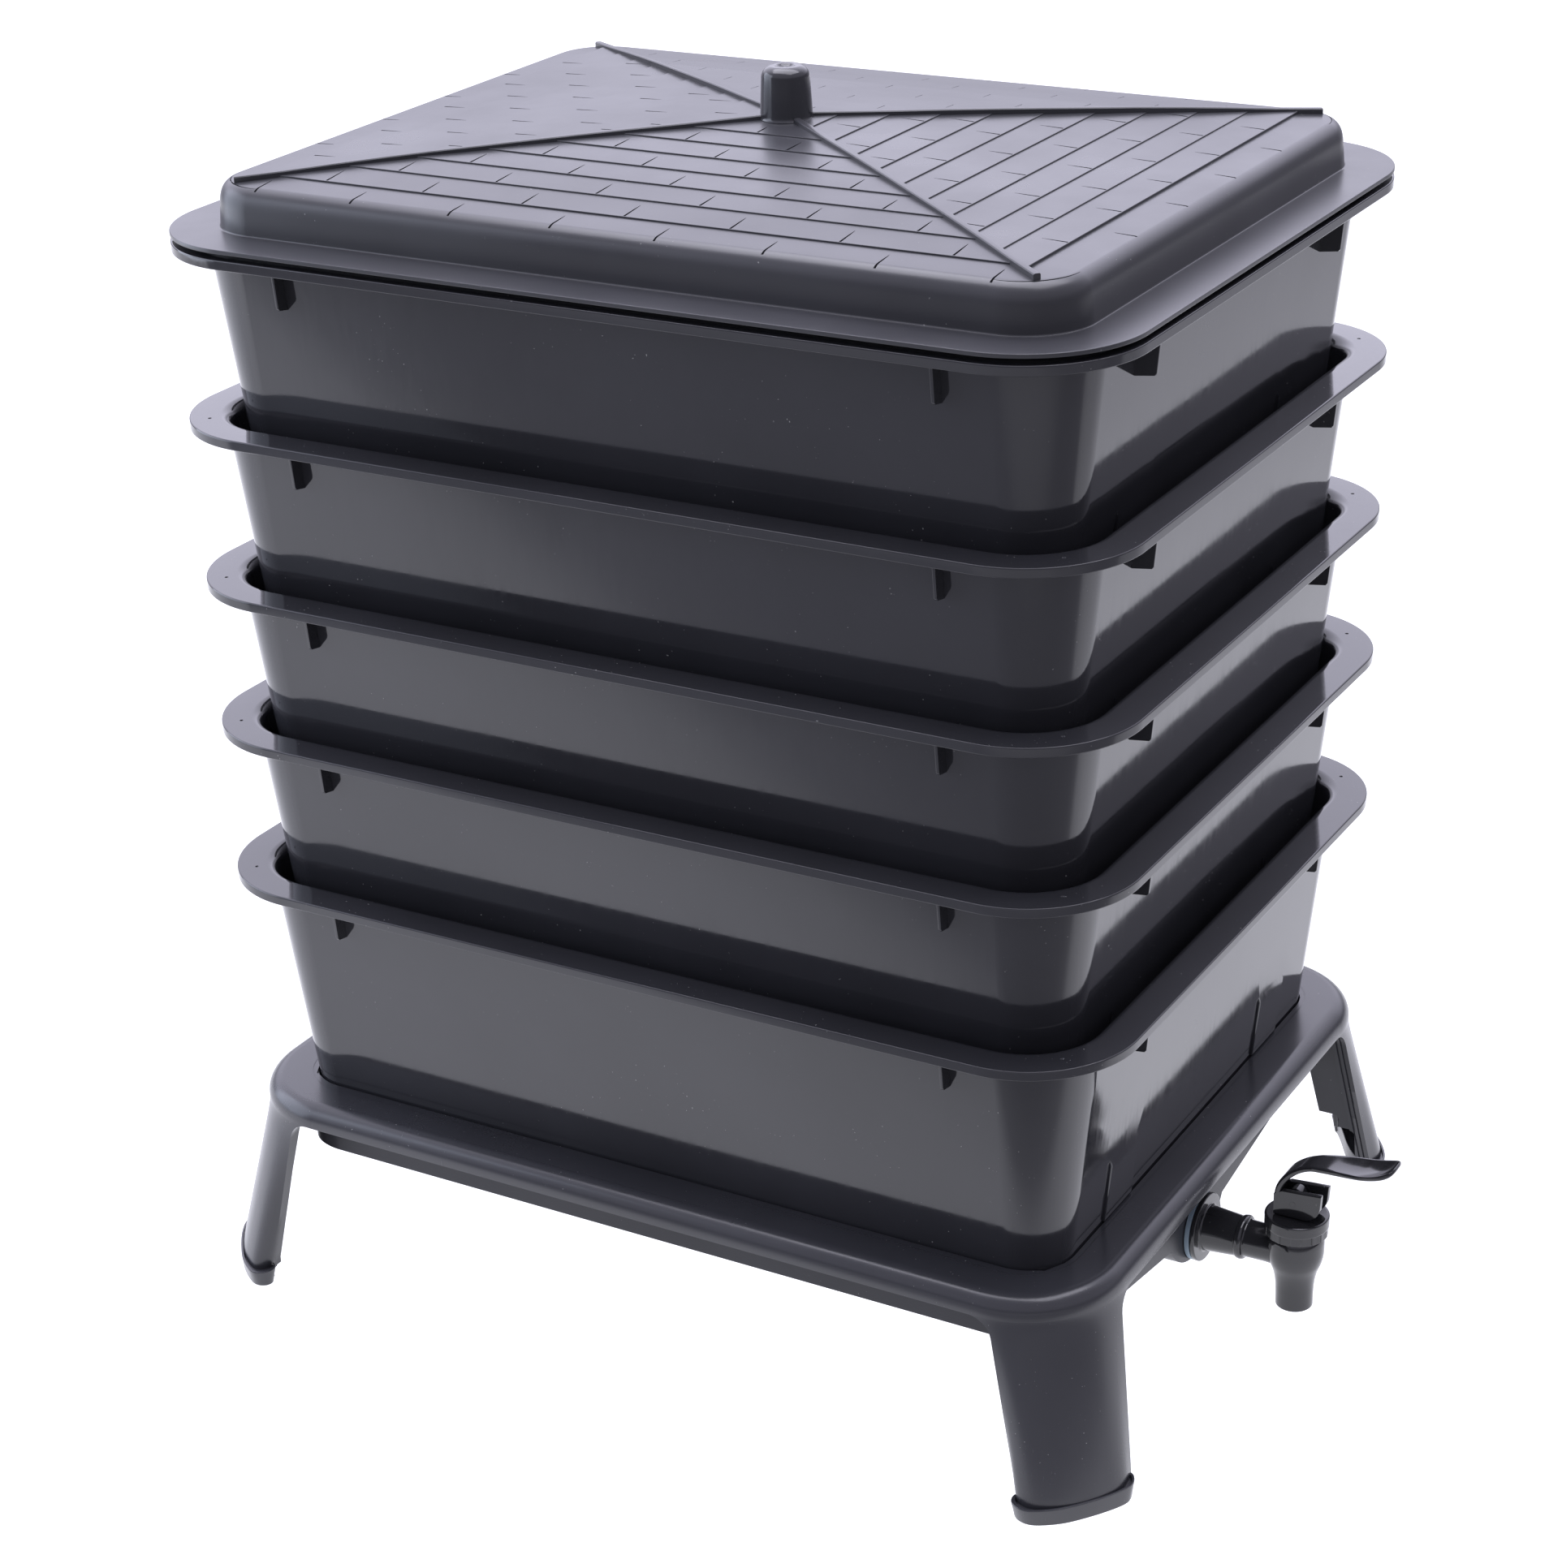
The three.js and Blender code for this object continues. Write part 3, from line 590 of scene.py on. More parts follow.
def chaikin(pts, k=3, closed=True):
    p = [np.array(q, float) for q in pts]
    for _ in range(k):
        out = []
        n = len(p)
        for i in range(n if closed else n - 1):
            a, b = p[i], p[(i + 1) % n]
            out += [a * 0.75 + b * 0.25, a * 0.25 + b * 0.75]
        if not closed:
            out = [p[0]] + out + [p[-1]]
        p = out
    return p


def resample(pts, n):
    p = np.array(pts, float)
    d = np.r_[0, np.cumsum(np.linalg.norm(np.diff(p, axis=0), axis=1))]
    t = np.linspace(0, d[-1], n)
    return np.column_stack([np.interp(t, d, p[:, k]) for k in range(p.shape[1])])


def base_path(u, inset):
    """Point of the base outline round the +x +y corner; u is the length from where the arc starts."""
    r = BASE_R - inset
    L = BASE_R * math.pi / 2
    cx, cy = BASE_A - BASE_R, BASE_B - BASE_R
    if u < 0:
        return (cx + u, cy + r)
    if u > L:
        return (cx + r, cy - (u - L))
    a = math.pi / 2 - u / BASE_R
    return (cx + r * math.cos(a), cy + r * math.sin(a))


def leg_part(short=0.0, back=22.4):
    """One leg; short is how much its long side stops earlier, back the depth of its return wall on the end side."""
    foot = [[187.9 + short, 171.8], [190.2 + 0.85 * short, 177.0 - 0.05 * short], [197.2 + 0.4 * short, 179.3 - 0.1 * short], [205.2, 175.8], [212.4, 170.2], [220.9, 159.5], [226.4, 148.8], [224.4, 138.0]]
    N = 34
    ft = resample(chaikin(foot, 3, closed=False), N + 1)
    u0, u1 = math.radians(7.4) * BASE_R + short, math.radians(85.6) * BASE_R
    zs = [92.6, 90.6, 88.4, 86.2, 84.6, 84.3, 83.7, 82.6, 81.2, 79.6, 77.8, 75.8, 72, 66, 58, 50, 42, 34, 26, 18, 12, 8.2, 1.2]
    insets = {92.6: 6.3, 90.6: 3.6, 88.4: 1.6, 86.2: 0.06}
    R = 9.0
    rings = []
    for z in zs:
        d = SKIRT_Z - z
        fl = R if d <= 0 else (R - math.sqrt(max(R * R - (R - d) ** 2, 0.0)) if d < R else 0.0)
        t = min(1.0, max(0.0, (84.4 - z) / (84.4 - 8.2)))
        w = (math.sqrt(t * t + 0.05 ** 2) - 0.05) / (math.sqrt(1 + 0.05 ** 2) - 0.05)
        ins = insets.get(z, 0.03)
        a, b = u0 - fl, u1 + fl
        outer = []
        for j in range(N + 1):
            p = base_path(a + (b - a) * j / N, ins)
            outer.append((p[0] + (ft[j][0] - p[0]) * w, p[1] + (ft[j][1] - p[1]) * w))
        outer = np.array(outer)
        tan = np.gradient(outer, axis=0)
        tan /= np.linalg.norm(tan, axis=1)[:, None]
        inner = outer + np.column_stack([tan[:, 1], -tan[:, 0]]) * LEG_T
        A, B = outer[0], outer[-1]
        inner[0] = A + [LEG_T, -LEG_T]
        inner[-1] = B + [-LEG_T, LEG_T]
        dA, dB = 12.6 - 1.05 * short, back - 1.0 * w
        g = dA / 12.6
        # return walls: a shallow groove parts each of them into two strips
        ring = [(A[0] + 0.5, A[1] - dA), (A[0] + 0.5, A[1] - 6.3 * g), (A[0] + 1.0, A[1] - 6.0 * g), (A[0] + 1.0, A[1] - 5.6 * g), (A[0], A[1] - 5.2 * g)]
        ring += [tuple(p) for p in outer]
        for e, h in ((1.9, 2.9), (4.1, 5.3)):
            ring += [(B[0] - e, B[1]), (B[0] - e - 0.3, B[1] + 0.7), (B[0] - h + 0.3, B[1] + 0.7), (B[0] - h, B[1])]
        ring += [(B[0] - 7.2, B[1]), (B[0] - 7.7, B[1] + 1.1), (B[0] - dB, B[1] + 1.1), (B[0] - dB, B[1] + 1.1 + LEG_T)]
        ring += [tuple(p) for p in inner[::-1]] + [(A[0] + LEG_T, A[1] - dA)]
        rings.append(np.array([(x, y, z) for x, y in ring]))
    o = new_mesh("leg", loft(rings))
    # groove that splits the inner return wall into two strips, and its rounded lower end
    cut = []
    def box(x0, x1, y0, y1, z0, z1):
        return hexa([(x0, y0, z0), (x1, y0, z0), (x1, y1, z0), (x0, y1, z0)], [(x0, y0, z1), (x1, y0, z1), (x1, y1, z1), (x0, y1, z1)])
    cut.append(box(165.0, 200, 150, 171.6, -5, 5.5))
    # the other return wall stops above the foot, in steps
    cut.append(box(192, 208.6, 128, 146, -5, 33))
    cut.append(box(198, 216.8, 128, 146, -5, 26))
    for c in cut:
        boolean(o, bevel(new_mesh("cut", c), 2.2, 4), "DIFFERENCE")
    return o


def foot_part(short=0.0):
    f0 = [[189.2, 174.6], [190.2, 179.1], [197.4, 181.3], [205.5, 177.0], [212.6, 171.2], [220.8, 160.6], [227.6, 149.5], [228.0, 144.5], [224.6, 137.2], [212, 143.0], [194.5, 171.0]]
    f1 = [[187.9, 173.0], [188.5, 179.6], [196.4, 183.4], [204.8, 178.9], [211.6, 173.0], [222.2, 159.8], [228.3, 148.9], [228.6, 142.9], [224.6, 137.0], [212, 143.0], [194.5, 171.0]]
    c0 = [[190.2, 171.6], [190.2, 177.3], [196.6, 181.2], [204.2, 177.2], [210.8, 171.7], [221.0, 158.9], [227.0, 148.4], [227.2, 143.6], [223.6, 139.0], [212, 144.5], [196, 171.5]]
    c1 = [[189.0, 172.0], [189.6, 178.8], [196.4, 182.5], [204.4, 178.2], [211.0, 172.4], [221.5, 159.3], [227.5, 148.6], [227.8, 143.2], [224.0, 138.4], [212, 144.0], [195.5, 171.3]]

    def ring(pts, z, soft=3, grow=0.0):
        p = chaikin([(x + 0.42 * short * min(1.0, max(0.0, (200 - x) / 11)), y) for x, y in pts], soft)
        if grow:
            c = np.mean(p, axis=0)
            p = [q + (q - c) / np.linalg.norm(q - c) * grow for q in p]
        return np.array([(q[0], q[1], z) for q in p])
    # the flat inner side of the cup keeps its corners
    lip = np.array(f1) * 0.5 + np.array(f0) * 0.5
    body = loft([ring(f0, 0, grow=-1.0), ring(f0, 0.3, grow=-0.35), ring(f0, 1.0), ring(lip, 4.6), ring(f1, 7.95), ring(f1, 8.25, grow=-0.07), ring(f1, 8.48, grow=-0.25), ring(f1, 8.55, grow=-0.5)])
    o = new_mesh("foot", body)
    boolean(o, new_mesh("cup", loft([ring(c0, 7.1), ring(c1, 9.2)])), "DIFFERENCE")
    return o


def mirrored_objects(o, op_target, signs):
    """Joins mirror images of an object to the target."""
    for sx, sy in signs:
        me = o.data.copy()
        # the mirror planes are those of the tray axis, which sits OX away from the row origin
        me.transform(Matrix.Translation((OX * MM, 0, 0)))
        me.transform(Matrix.Diagonal((sx, sy, 1, 1)))
        me.transform(Matrix.Translation((-OX * MM, 0, 0)))
        if sx * sy < 0:
            me.flip_normals()
        c = bpy.data.objects.new("copy", me)
        bpy.context.scene.collection.objects.link(c)
        boolean(op_target, c, "UNION")


def base_part():
    prof = [(0.55, SKIRT_Z)] + bez((0.3, SKIRT_Z), (0, SKIRT_Z), (0, SKIRT_Z + 0.35), 2) + [(0, 86.0)]
    r, cx, cz = 8.0, 8.0, DECK_Z - 8.0
    prof += [(cx - r * math.cos(math.radians(a)), cz + r * math.sin(math.radians(a))) for a in range(0, 91, 9)]
    prof += [(14.0, DECK_Z), (OPEN_INSET - 2.2, DECK_Z)] + bez((OPEN_INSET - 1.7, DECK_Z), (OPEN_INSET - 1.2, DECK_Z), (OPEN_INSET - 1.2, DECK_Z - 0.5), 3)
    prof += [(OPEN_INSET - 1.2, 92.2), (8, 92.2), (4.6, 90.9), (3.1, 88.4), (2.5, SKIRT_Z + 0.3), (2.2, SKIRT_Z)]
    deck = new_mesh("base_form", loft(rings_of(BASE_A, BASE_B, BASE_R, prof), "torus"))

    def block(inset, z0, z1):
        return loft(rings_of(BASE_A, BASE_B, BASE_R, [(inset, z0), (inset, z1)]))

    def wedge(z0):
        return prism([(0, z0), (170, z0 + 170 * BOWL_SLOPE), (170, 110), (-170, 110), (-170, z0 + 170 * BOWL_SLOPE)], "x", -215, 215)

    def trough(r, z1, x0, x1):
        half = math.asin(0.86)
        pts = [(r * math.sin(-half + 2 * half * i / 20), 60.5 - r * math.cos(-half + 2 * half * i / 20)) for i in range(21)]
        pts += [(r * math.sin(half), z1), (-r * math.sin(half), z1)]
        return prism(pts, "x", x0, x1)
    outer = new_mesh("bowl_out", block(OPEN_INSET - BOWL_T, 20, 94.35))
    boolean(outer, new_mesh("w", wedge(BOWL_Z0)), "INTERSECT")
    boolean(outer, new_mesh("t", trough(33, 46, 160, BASE_A - OPEN_INSET + BOWL_T)), "UNION")
    hole_in = outline(BASE_A - 22.9, BASE_B - 24.2, 21.9)
    inner = new_mesh("bowl_in", loft([np.column_stack([hole_in, np.full(len(hole_in), z)]) for z in (20.0, 110.0)]))
    boolean(inner, new_mesh("w", wedge(BOWL_Z0 + BOWL_T)), "INTERSECT")
    boolean(inner, new_mesh("t", trough(33 - BOWL_T, 54, 160 + BOWL_T, BASE_A - OPEN_INSET)), "UNION")
    boolean(deck, outer, "UNION")
    # two legs across the diagonal have a narrower long side, and one of these a shallow return wall
    for short, back, signs in ((0.0, 22.4, ((-1, 1), (1, -1))), (6.0, 22.4, ((1, 1),)), (6.0, 13.0, ((-1, -1),))):
        leg, foot = leg_part(short, back), foot_part(short)
        boolean(leg, foot, "UNION")
        mirrored_objects(leg, deck, signs)
        bpy.data.objects.remove(leg)
    # the return wall of the far leg by the tap is cut short
    boolean(deck, bevel(new_mesh("cut", hexa([(180, 150, -5), (197, 150, -5), (197, 169.4, -5), (180, 169.4, -5)], [(180, 150, 34), (197, 150, 34), (197, 169.4, 34), (180, 169.4, 34)])), 2.2, 4), "DIFFERENCE")
    boolean(deck, inner, "DIFFERENCE")
    # shallow relief with small ticks in each corner of the opening
    c = (181.5, 131.5)
    relief = [(c[0] - 9.5, c[1] + 5.4), (c[0] + 4.6, c[1] - 8.7), (c[0] + 8.2, c[1] - 3.0), (c[0] + 3.2, c[1] + 6.4), (c[0] - 4.4, c[1] + 9.8)]
    boolean(deck, bevel(new_mesh("relief", four(prism(relief, "z", DECK_Z - 1.2, DECK_Z + 2))), 0.5, 2), "DIFFERENCE")
    hole = turned([(0, 180), (8.4, 180), (8.4, 200), (0, 200)], 48, "x", (0, 0, TAP_Z))
    boolean(deck, new_mesh("tap_hole", hole), "DIFFERENCE")
    return deck


base = base_part()
base.name = base.data.name = "base_shell"
shade(base, 30)
piece(base, "base", ["base_stand"], MAT_BASE)
# painted shade: the sump faces under the deck get a darker, less reflective and rougher black, standing in for the
# shadow that falls under the base
base.data.materials.append(MAT_SUMP_SHADE)
for f in base.data.polygons:
    c = f.center
    u, v = abs(c.x + OX * MM), abs(c.y)
    if c.z < 0.0838 and ((u < 0.1942 and v < 0.1482) or (u < 0.2172 and v < 0.1405 and abs(f.normal.y) > 0.6)):
        f.material_index = 1


# ----------------------------------------------------------------------- tap
def solid(name, part, body, nodes, mat, cuts=(), bev=None, angle=32):
    o = new_mesh(name, part)
    if bev:
        bevel(o, *bev)
    for c in cuts:
        boolean(o, new_mesh("cut", c), "DIFFERENCE")
    shade(o, angle)
    return piece(o, body, nodes, mat)


def rod(r, z0, z1, seg=48, axis="z", at=(0, 0, 0)):
    return turned([(0, z0), (r, z0), (r, z1), (0, z1)], seg, axis, at)


def tap_body():
    spig = [(0, 175), (7.3, 175), (7.7, 175.4)]
    x = 176.4
    while x < 189.5:
        spig += [(8.0, x), (8.0, x + 0.5), (7.55, x + 0.9), (7.55, x + 1.1)]
        x += 1.6
    spig += [(8, 190.5), (8, 196.5)]
    spig += bez((15.2, 196.5), (15.65, 196.5), (15.65, 196.95), 3) + bez((15.65, 198.0), (15.65, 198.6), (15.0, 198.65), 4)
    spig += [(12.0, 198.7)] + bez((11.2, 198.75), (10.5, 198.9), (10.3, 199.9), 4)
    spig += [(9.9, 205.0), (9.45, 211.0), (9.15, 214.3)] + bez((9.15, 214.6), (9.9, 214.7), (9.95, 215.5), 3)
    spig += bez((10.1, 216.4), (10.0, 217.5), (9.4, 217.9), 3) + [(8.7, 218.2), (8.45, 219.0), (8.35, 226.0)]
    spig += bez((8.35, 228.0), (8.5, 232.0), (9.4, 236.0), 4) + [(0, 236.0)]
    o = new_mesh("tap_form", turned(spig, 72, "x", (0, 0, TAP_Z)))
    bar = [(0, 15.5)] + bez((7.5, 15.5), (8.25, 15.5), (8.3, 16.3), 3)
    bar += [(8.3, 18.0), (8.35, 22.0)] + bez((8.5, 25.5), (8.9, 31.0), (10.5, 35.2), 8)
    bar += bez((11.3, 37.2), (12.55, 41.0), (12.5, 45.0), 8) + bez((12.5, 48.0), (12.3, 50.6), (11.5, 51.4), 4) + [(11.5, 59.2), (0, 59.2)]
    boolean(o, new_mesh("barrel", turned(bar, 72, "z", (TAP_X, 0, 0))), "UNION")
    boolean(o, new_mesh("bore", rod(5, 170, 238, 32, "x", (0, 0, TAP_Z))), "DIFFERENCE")
    boolean(o, new_mesh("chamber", turned([(0, 10), (6.6, 10), (6.6, 20), (5.6, 21), (5.6, 34), (8.8, 34), (8.8, 70), (0, 70)], 48, "z", (TAP_X, 0, 0))), "DIFFERENCE")
    return o


o = tap_body()
o.name = o.data.name = "tap_body_shell"
shade(o, 34)
piece(o, "base", ["tap_body"], MAT_TAP)


def ring_x(r0, r1, x0, x1, seg=72, b=0.3):
    prof = [(r0, x0)] + bez((r1 - b, x0), (r1, x0), (r1, x0 + b), 3) + bez((r1, x1 - b), (r1, x1), (r1 - b, x1), 3) + [(r0, x1)]
    return turned(prof, seg, "x", (0, 0, TAP_Z))


solid("outer_washer", ring_x(8.3, 15.5, 193.9, 196.2, 72, 0.45), "base", ["tap_outer_washer"], MAT_SEAL)
solid("inner_washer", ring_x(8.3, 11.5, 188.9, 191.1, 72, 0.4), "base", ["tap_inner_washer"], MAT_SEAL)
nut = new_mesh("lock_nut", turned([(8.3, 182), (12.1, 182), (12.1, 188.6), (8.3, 188.6)], 6, "x", (0, 0, TAP_Z)))
bore = new_mesh("bore", rod(8.3, 170, 200, 48, "x", (0, 0, TAP_Z)))
nut_body = new_mesh("nut_body", rod(12.1, 182, 188.6, 6, "x", (0, 0, TAP_Z)))
bevel(nut_body, 0.5, 3)
bpy.data.objects.remove(nut)
boolean(nut_body, bore, "DIFFERENCE")
shade(nut_body, 30)
piece(nut_body, "base", ["tap_lock_nut"], MAT_TAP)


def bonnet():
    # round cap above, a belt of shallow grip flats below
    up = [(0, 56.6)] + [(14.0, 56.6)] + bez((14.1, 56.7), (14.2, 56.9), (14.2, 57.6), 3)
    up += [(14.2, 60.2)] + bez((14.2, 61.3), (14.0, 62.0), (12.9, 62.0), 5) + [(9.0, 61.7), (0, 61.7)]
    o = new_mesh("bonnet", turned(up, 96, "z", (TAP_X, 0, 0)))
    n = 18
    pts0 = []
    for i in range(n):
        for k, r in ((0.08, 13.95), (0.42, 13.75), (0.58, 13.75), (0.92, 13.95)):
            a = 2 * math.pi * (i + k) / n
            pts0.append((TAP_X + r * math.cos(a), r * math.sin(a)))
        a = 2 * math.pi * (i + 1.0) / n
        pts0.append((TAP_X + 13.55 * math.cos(a), 13.55 * math.sin(a)))
    belt = new_mesh("belt", prism(pts0, "z", 52.5, 57.0))
    bevel(belt, 0.35, 2, 50)
    boolean(o, belt, "UNION")
    boolean(o, new_mesh("c1", rod(11.85, 40, 59.6, 64, "z", (TAP_X, 0, 0))), "DIFFERENCE")
    boolean(o, new_mesh("c2", rod(3.5, 50, 70, 32, "z", (TAP_X, 0, 0))), "DIFFERENCE")
    shade(o, 30)
    return piece(o, "base", ["tap_bonnet"], MAT_TAP)


bonnet()


def stem():
    top = arc(TAP_X, PIN_Z + 2.4, 3.6, 0, 180, 20)
    tang = new_mesh("tang", prism([(TAP_X - 3.6, 63.4), (TAP_X + 3.6, 63.4)] + top, "y", -2.6, 2.6))
    bevel(tang, 0.35, 2)
    boolean(tang, new_mesh("post", turned([(0, 41), (3, 41), (3, 64), (0, 64)], 32, "z", (TAP_X, 0, 0))), "UNION")
    boolean(tang, new_mesh("eye", prism(arc(TAP_X, PIN_Z, 1.7, 0, 348.75, 31), "y", -4, 4)), "DIFFERENCE")
    tang.name = "stem_shell"
    shade(tang, 32)
    return piece(tang, "valve_stem", ["tap_stem"], MAT_TAP)


stem()
solid("valve_cup", turned([(0, 34.3), (6.8, 34.3), (7.2, 34.6), (7.7, 36.6), (7.6, 37.3), (5.6, 40.4), (5.4, 41.2), (5.4, 49.6), (5.9, 50.6), (8.1, 52.0), (8.3, 52.4), (8.3, 54.3), (8.0, 54.6), (3.3, 54.6), (3.3, 40.7), (0, 40.7)], 48, "z", (TAP_X, 0, 0)),
      "valve_stem", ["tap_valve_cup"], MAT_CUP)


def catmull(points, k):
    p = np.array(points, float)
    p = np.vstack([2 * p[0] - p[1], p, 2 * p[-1] - p[-2]])
    out = []
    for i in range(1, len(p) - 2):
        for j in range(k):
            t = j / k
            out.append(0.5 * ((2 * p[i]) + (-p[i - 1] + p[i + 1]) * t + (2 * p[i - 1] - 5 * p[i] + 4 * p[i + 1] - p[i + 2]) * t * t
                              + (-p[i - 1] + 3 * p[i] - 3 * p[i + 1] + p[i + 2]) * t ** 3))
    out.append(p[-2])
    return np.array(out)


def lever():
    # stations along the arm: upper x z, lower x z, half width, cupping
    st = [(231.5, 69.5, 234.4, 69.5, 6.0, 0.0), (231.6, 73.4, 234.5, 73.0, 6.0, 0.0), (233.0, 78.0, 235.8, 76.8, 6.0, 0.0), (236.6, 83.2, 238.9, 81.3, 6.0, 0.0),
          (241.6, 87.2, 243.2, 85.0, 6.0, 0.0), (247.4, 89.8, 248.2, 87.4, 6.3, 0.1), (253.0, 90.8, 253.3, 88.4, 7.2, 0.3), (258.5, 91.5, 258.8, 89.1, 8.0, 0.7),
          (264.5, 92.1, 264.9, 89.6, 8.5, 1.2), (270.5, 92.6, 271.0, 90.1, 8.7, 1.6), (275.6, 93.6, 276.2, 91.1, 8.6, 1.6), (279.7, 94.9, 280.5, 92.4, 8.1, 1.2),
          (282.6, 96.2, 283.5, 94.0, 6.9, 0.7), (284.3, 97.2, 285.0, 95.5, 4.9, 0.2)]
    S = catmull(st, 4)
    rings = []
    for ux, uz, lx, lz, hw, cup in S:
        up, lo = np.array([ux, uz]), np.array([lx, lz])
        mid, hv = (up + lo) / 2, (up - lo) / 2
        h = np.linalg.norm(hv)
        n = hv / h
        ring = []
        # section: rounded bar, the paddle hollowed a little on top
        for i in range(20):
            a = 2 * math.pi * i / 20
            cy, sy_ = math.cos(a), math.sin(a)
            y = hw * math.copysign(abs(cy) ** 0.28, cy)
            q = h * math.copysign(abs(sy_) ** 0.55, sy_)
            q += -cup * (1 - (y / max(hw, 1e-6)) ** 2) * (1.0 if sy_ > 0 else 0.8) + cup * 0.2
            p = mid + n * q
            ring.append((p[0], y, p[1]))
        rings.append(np.array(ring))
    # close the tip with two shrinking rings
    c = rings[-1].mean(axis=0)
    d = np.array([0.55, 0, 0.35])
    rings.append(c + (rings[-1] - c) * 0.72 + d * 0.6)
    rings.append(c + (rings[-2] - c) * 0.3 + d * 0.9)
    o = new_mesh("lever_form", loft(rings))
    cam = [(231.6, 62.3)] + arc(TAP_X + 4.5, PIN_Z + 1.2, 8, -90, 0, 18) + [(253.4, 76.0), (235.4, 74.6), (233.0, 73.4), (231.5, 72.4)]
    for y0, y1 in ((-6, -3.2), (3.2, 6)):
        ch = new_mesh("cheek", prism(cam, "y", y0, y1))
        bevel(ch, 0.35, 2, 50)
        boolean(o, ch, "UNION")
    boolean(o, new_mesh("eye", prism(arc(TAP_X, PIN_Z, 1.37, 0, 348.75, 31), "y", -8, 8)), "DIFFERENCE")
    o.name = "lever_shell"
    shade(o, 38)
    return piece(o, "lever", ["tap_lever"], MAT_TAP)


lever()
pin = new_mesh("lever_pin", prism(arc(TAP_X, PIN_Z, 1.35, 0, 348.75, 31), "y", -6.03, 6.03))
bevel(pin, 0.06, 2)
shade(pin, 32)
piece(pin, "lever", ["tap_lever_pin"], MAT_TAP)


# ----------------------------------------------------------------- the stage
def stage():
    s = 3.4
    n = 34
    g = np.linspace(-s, s, n + 1)
    me = bpy.data.meshes.new("floor")
    me.from_pydata([(x, y, 0) for y in g for x in g], [], [(j * (n + 1) + i, j * (n + 1) + i + 1, (j + 1) * (n + 1) + i + 1, (j + 1) * (n + 1) + i) for j in range(n) for i in range(n)])
    o = bpy.data.objects.new("floor", me)
    bpy.context.scene.collection.objects.link(o)
    o.location = (0, 0, -0.0004)
    m = Mat("floor_white")
    m.b.inputs["Roughness"].default_value = 0.7
    c = m.mix(m.noise(3.0, 2.0), (0.21, 0.21, 0.215), (0.23, 0.23, 0.233))
    m.link(c, m.b.inputs["Base Color"])
    m.b.inputs["Specular IOR Level"].default_value = 0.1
    # the sheet glows evenly like a light table and fades towards the front
    sep = m.n.new("ShaderNodeSeparateXYZ")
    m.link(m.tc.outputs["Object"], sep.inputs[0])
    q = m.math("ADD", m.math("MULTIPLY", sep.outputs[0], 0.509), m.math("MULTIPLY", sep.outputs[1], -0.861))
    ramp = m.n.new("ShaderNodeValToRGB")
    ramp.color_ramp.interpolation = "LINEAR"
    m.link(m.rng(q, -0.6, 1.0, 0.0, 1.0), ramp.inputs["Fac"])
    stops = [(-0.6, 1.05), (-0.1, 1.05), (0.08, 1.30), (0.20, 1.36), (0.265, 1.22), (0.305, 1.0), (0.345, 0.32), (0.40, 0.14), (0.52, 0.10), (0.64, 0.08), (0.76, 0.12), (0.87, 0.34), (1.0, 0.44)]
    e = ramp.color_ramp.elements
    for i, (at, v) in enumerate(stops):
        el = e[i] if i < 2 else e.new((at + 0.6) / 1.6)
        el.position = (at + 0.6) / 1.6
        el.color = (v / 2, v * 1.005 / 2, v * 1.08 / 2, 1.0)
    m.link(ramp.outputs["Color"], m.b.inputs["Emission Color"])
    # and towards the right, well past the right edge of the picture
    side = m.math("ADD", m.math("MULTIPLY", sep.outputs[0], 0.951), m.math("MULTIPLY", sep.outputs[1], 0.309))
    near = m.rng(side, 0.50, 0.85, 2.0, 1.3, True)
    far = m.rng(side, 0.85, 1.15, 0.0, -0.5)
    m.link(m.math("ADD", near, far), m.b.inputs["Emission Strength"])
    me.materials.append(m.m)


stage()

w = bpy.data.worlds.new("studio")
bpy.context.scene.world = w
w.use_nodes = True
wt = w.node_tree
bg = wt.nodes["Background"]
wc = wt.nodes.new("ShaderNodeTexCoord")
dot = wt.nodes.new("ShaderNodeVectorMath")
dot.operation = "DOT_PRODUCT"
wt.links.new(wc.outputs["Generated"], dot.inputs[0])
dot.inputs[1].default_value = (-0.50, 0.64, 0.58)
wr = wt.nodes.new("ShaderNodeMapRange")
wr.interpolation_type = "SMOOTHSTEP"
for k, v in (("From Min", 0.25), ("From Max", 0.98), ("To Min", 0.70), ("To Max", 2.4)):
    wr.inputs[k].default_value = v
wt.links.new(dot.outputs["Value"], wr.inputs["Value"])
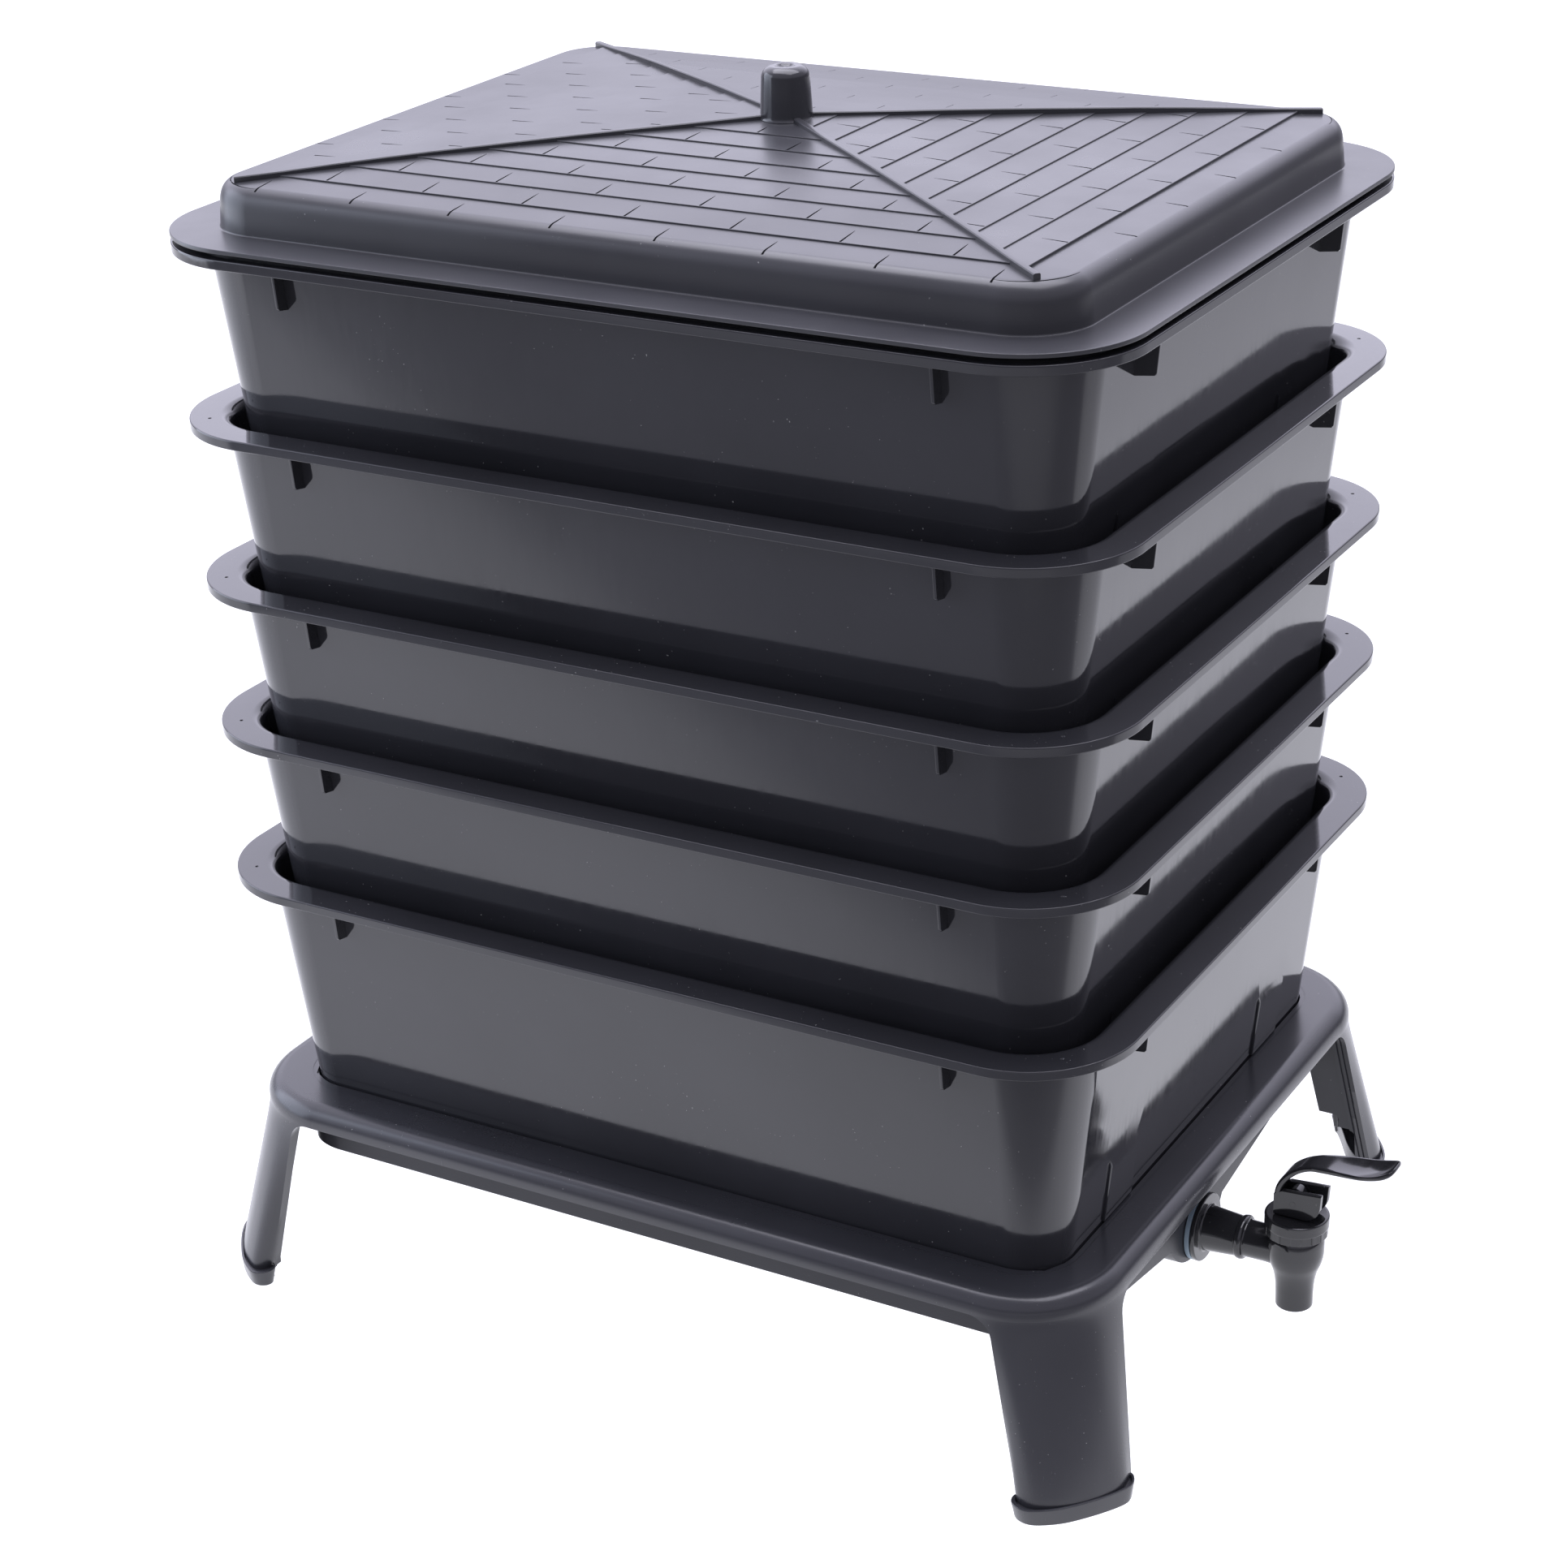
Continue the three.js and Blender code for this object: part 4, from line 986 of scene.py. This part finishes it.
# the backdrop is dimmer low down, just above the table
ws = wt.nodes.new("ShaderNodeSeparateXYZ")
wt.links.new(wc.outputs["Generated"], ws.inputs[0])
wl = wt.nodes.new("ShaderNodeMapRange")
wl.interpolation_type = "SMOOTHSTEP"
for k, v in (("From Min", 0.10), ("From Max", 0.27), ("To Min", 0.36), ("To Max", 1.0)):
    wl.inputs[k].default_value = v
wt.links.new(ws.outputs[2], wl.inputs["Value"])
wm = wt.nodes.new("ShaderNodeMath")
wm.operation = "MULTIPLY"
wt.links.new(wr.outputs["Result"], wm.inputs[0])
wt.links.new(wl.outputs["Result"], wm.inputs[1])
wt.links.new(wm.outputs[0], bg.inputs[1])
bg.inputs[0].default_value = (0.955, 0.94, 1.13, 1.0)


def area(name, loc, target, size, power, colour=(1, 1, 1)):
    d = bpy.data.lights.new(name, "AREA")
    d.shape = "RECTANGLE"
    d.size, d.size_y = size
    d.energy = power
    d.color = colour
    o = bpy.data.objects.new(name, d)
    bpy.context.scene.collection.objects.link(o)
    o.location = loc
    o.rotation_mode = "QUATERNION"
    o.rotation_quaternion = (Vector(target) - Vector(loc)).to_track_quat("-Z", "Y")
    return o


area("left_sheet", (-1.45, -0.62, 0.70), (-0.1, 0.0, 0.2), (1.5, 1.3), 17, (0.88, 0.96, 1.16))
area("top_box", (0.0, 0.1, 1.9), (0.0, 0.0, 0.2), (2.0, 1.4), 38, (0.97, 0.96, 1.07))

cam_d = bpy.data.cameras.new("camera")
cam = bpy.data.objects.new("camera", cam_d)
bpy.context.scene.collection.objects.link(cam)
az, el, roll = math.radians(30.59), math.radians(24.29), math.radians(-1.99)
back = Vector((math.sin(az) * math.cos(el), -math.cos(az) * math.cos(el), math.sin(el)))
right = Vector((math.cos(az), math.sin(az), 0))
up = back.cross(right)
r2 = right * math.cos(roll) + up * math.sin(roll)
u2 = up * math.cos(roll) - right * math.sin(roll)
rot = Matrix((r2, u2, back)).transposed()
cam.rotation_mode = "QUATERNION"
cam.rotation_quaternion = rot.to_quaternion()
cam.location = (0.664205, -1.200851, 0.846258)
cam_d.sensor_fit = "HORIZONTAL"
cam_d.sensor_width = 36.0
cam_d.lens = 78.466
cam_d.clip_start, cam_d.clip_end = 0.01, 50
bpy.context.scene.camera = cam

bpy.context.scene.view_settings.view_transform = "Standard"
bpy.context.scene.view_settings.look = "None"
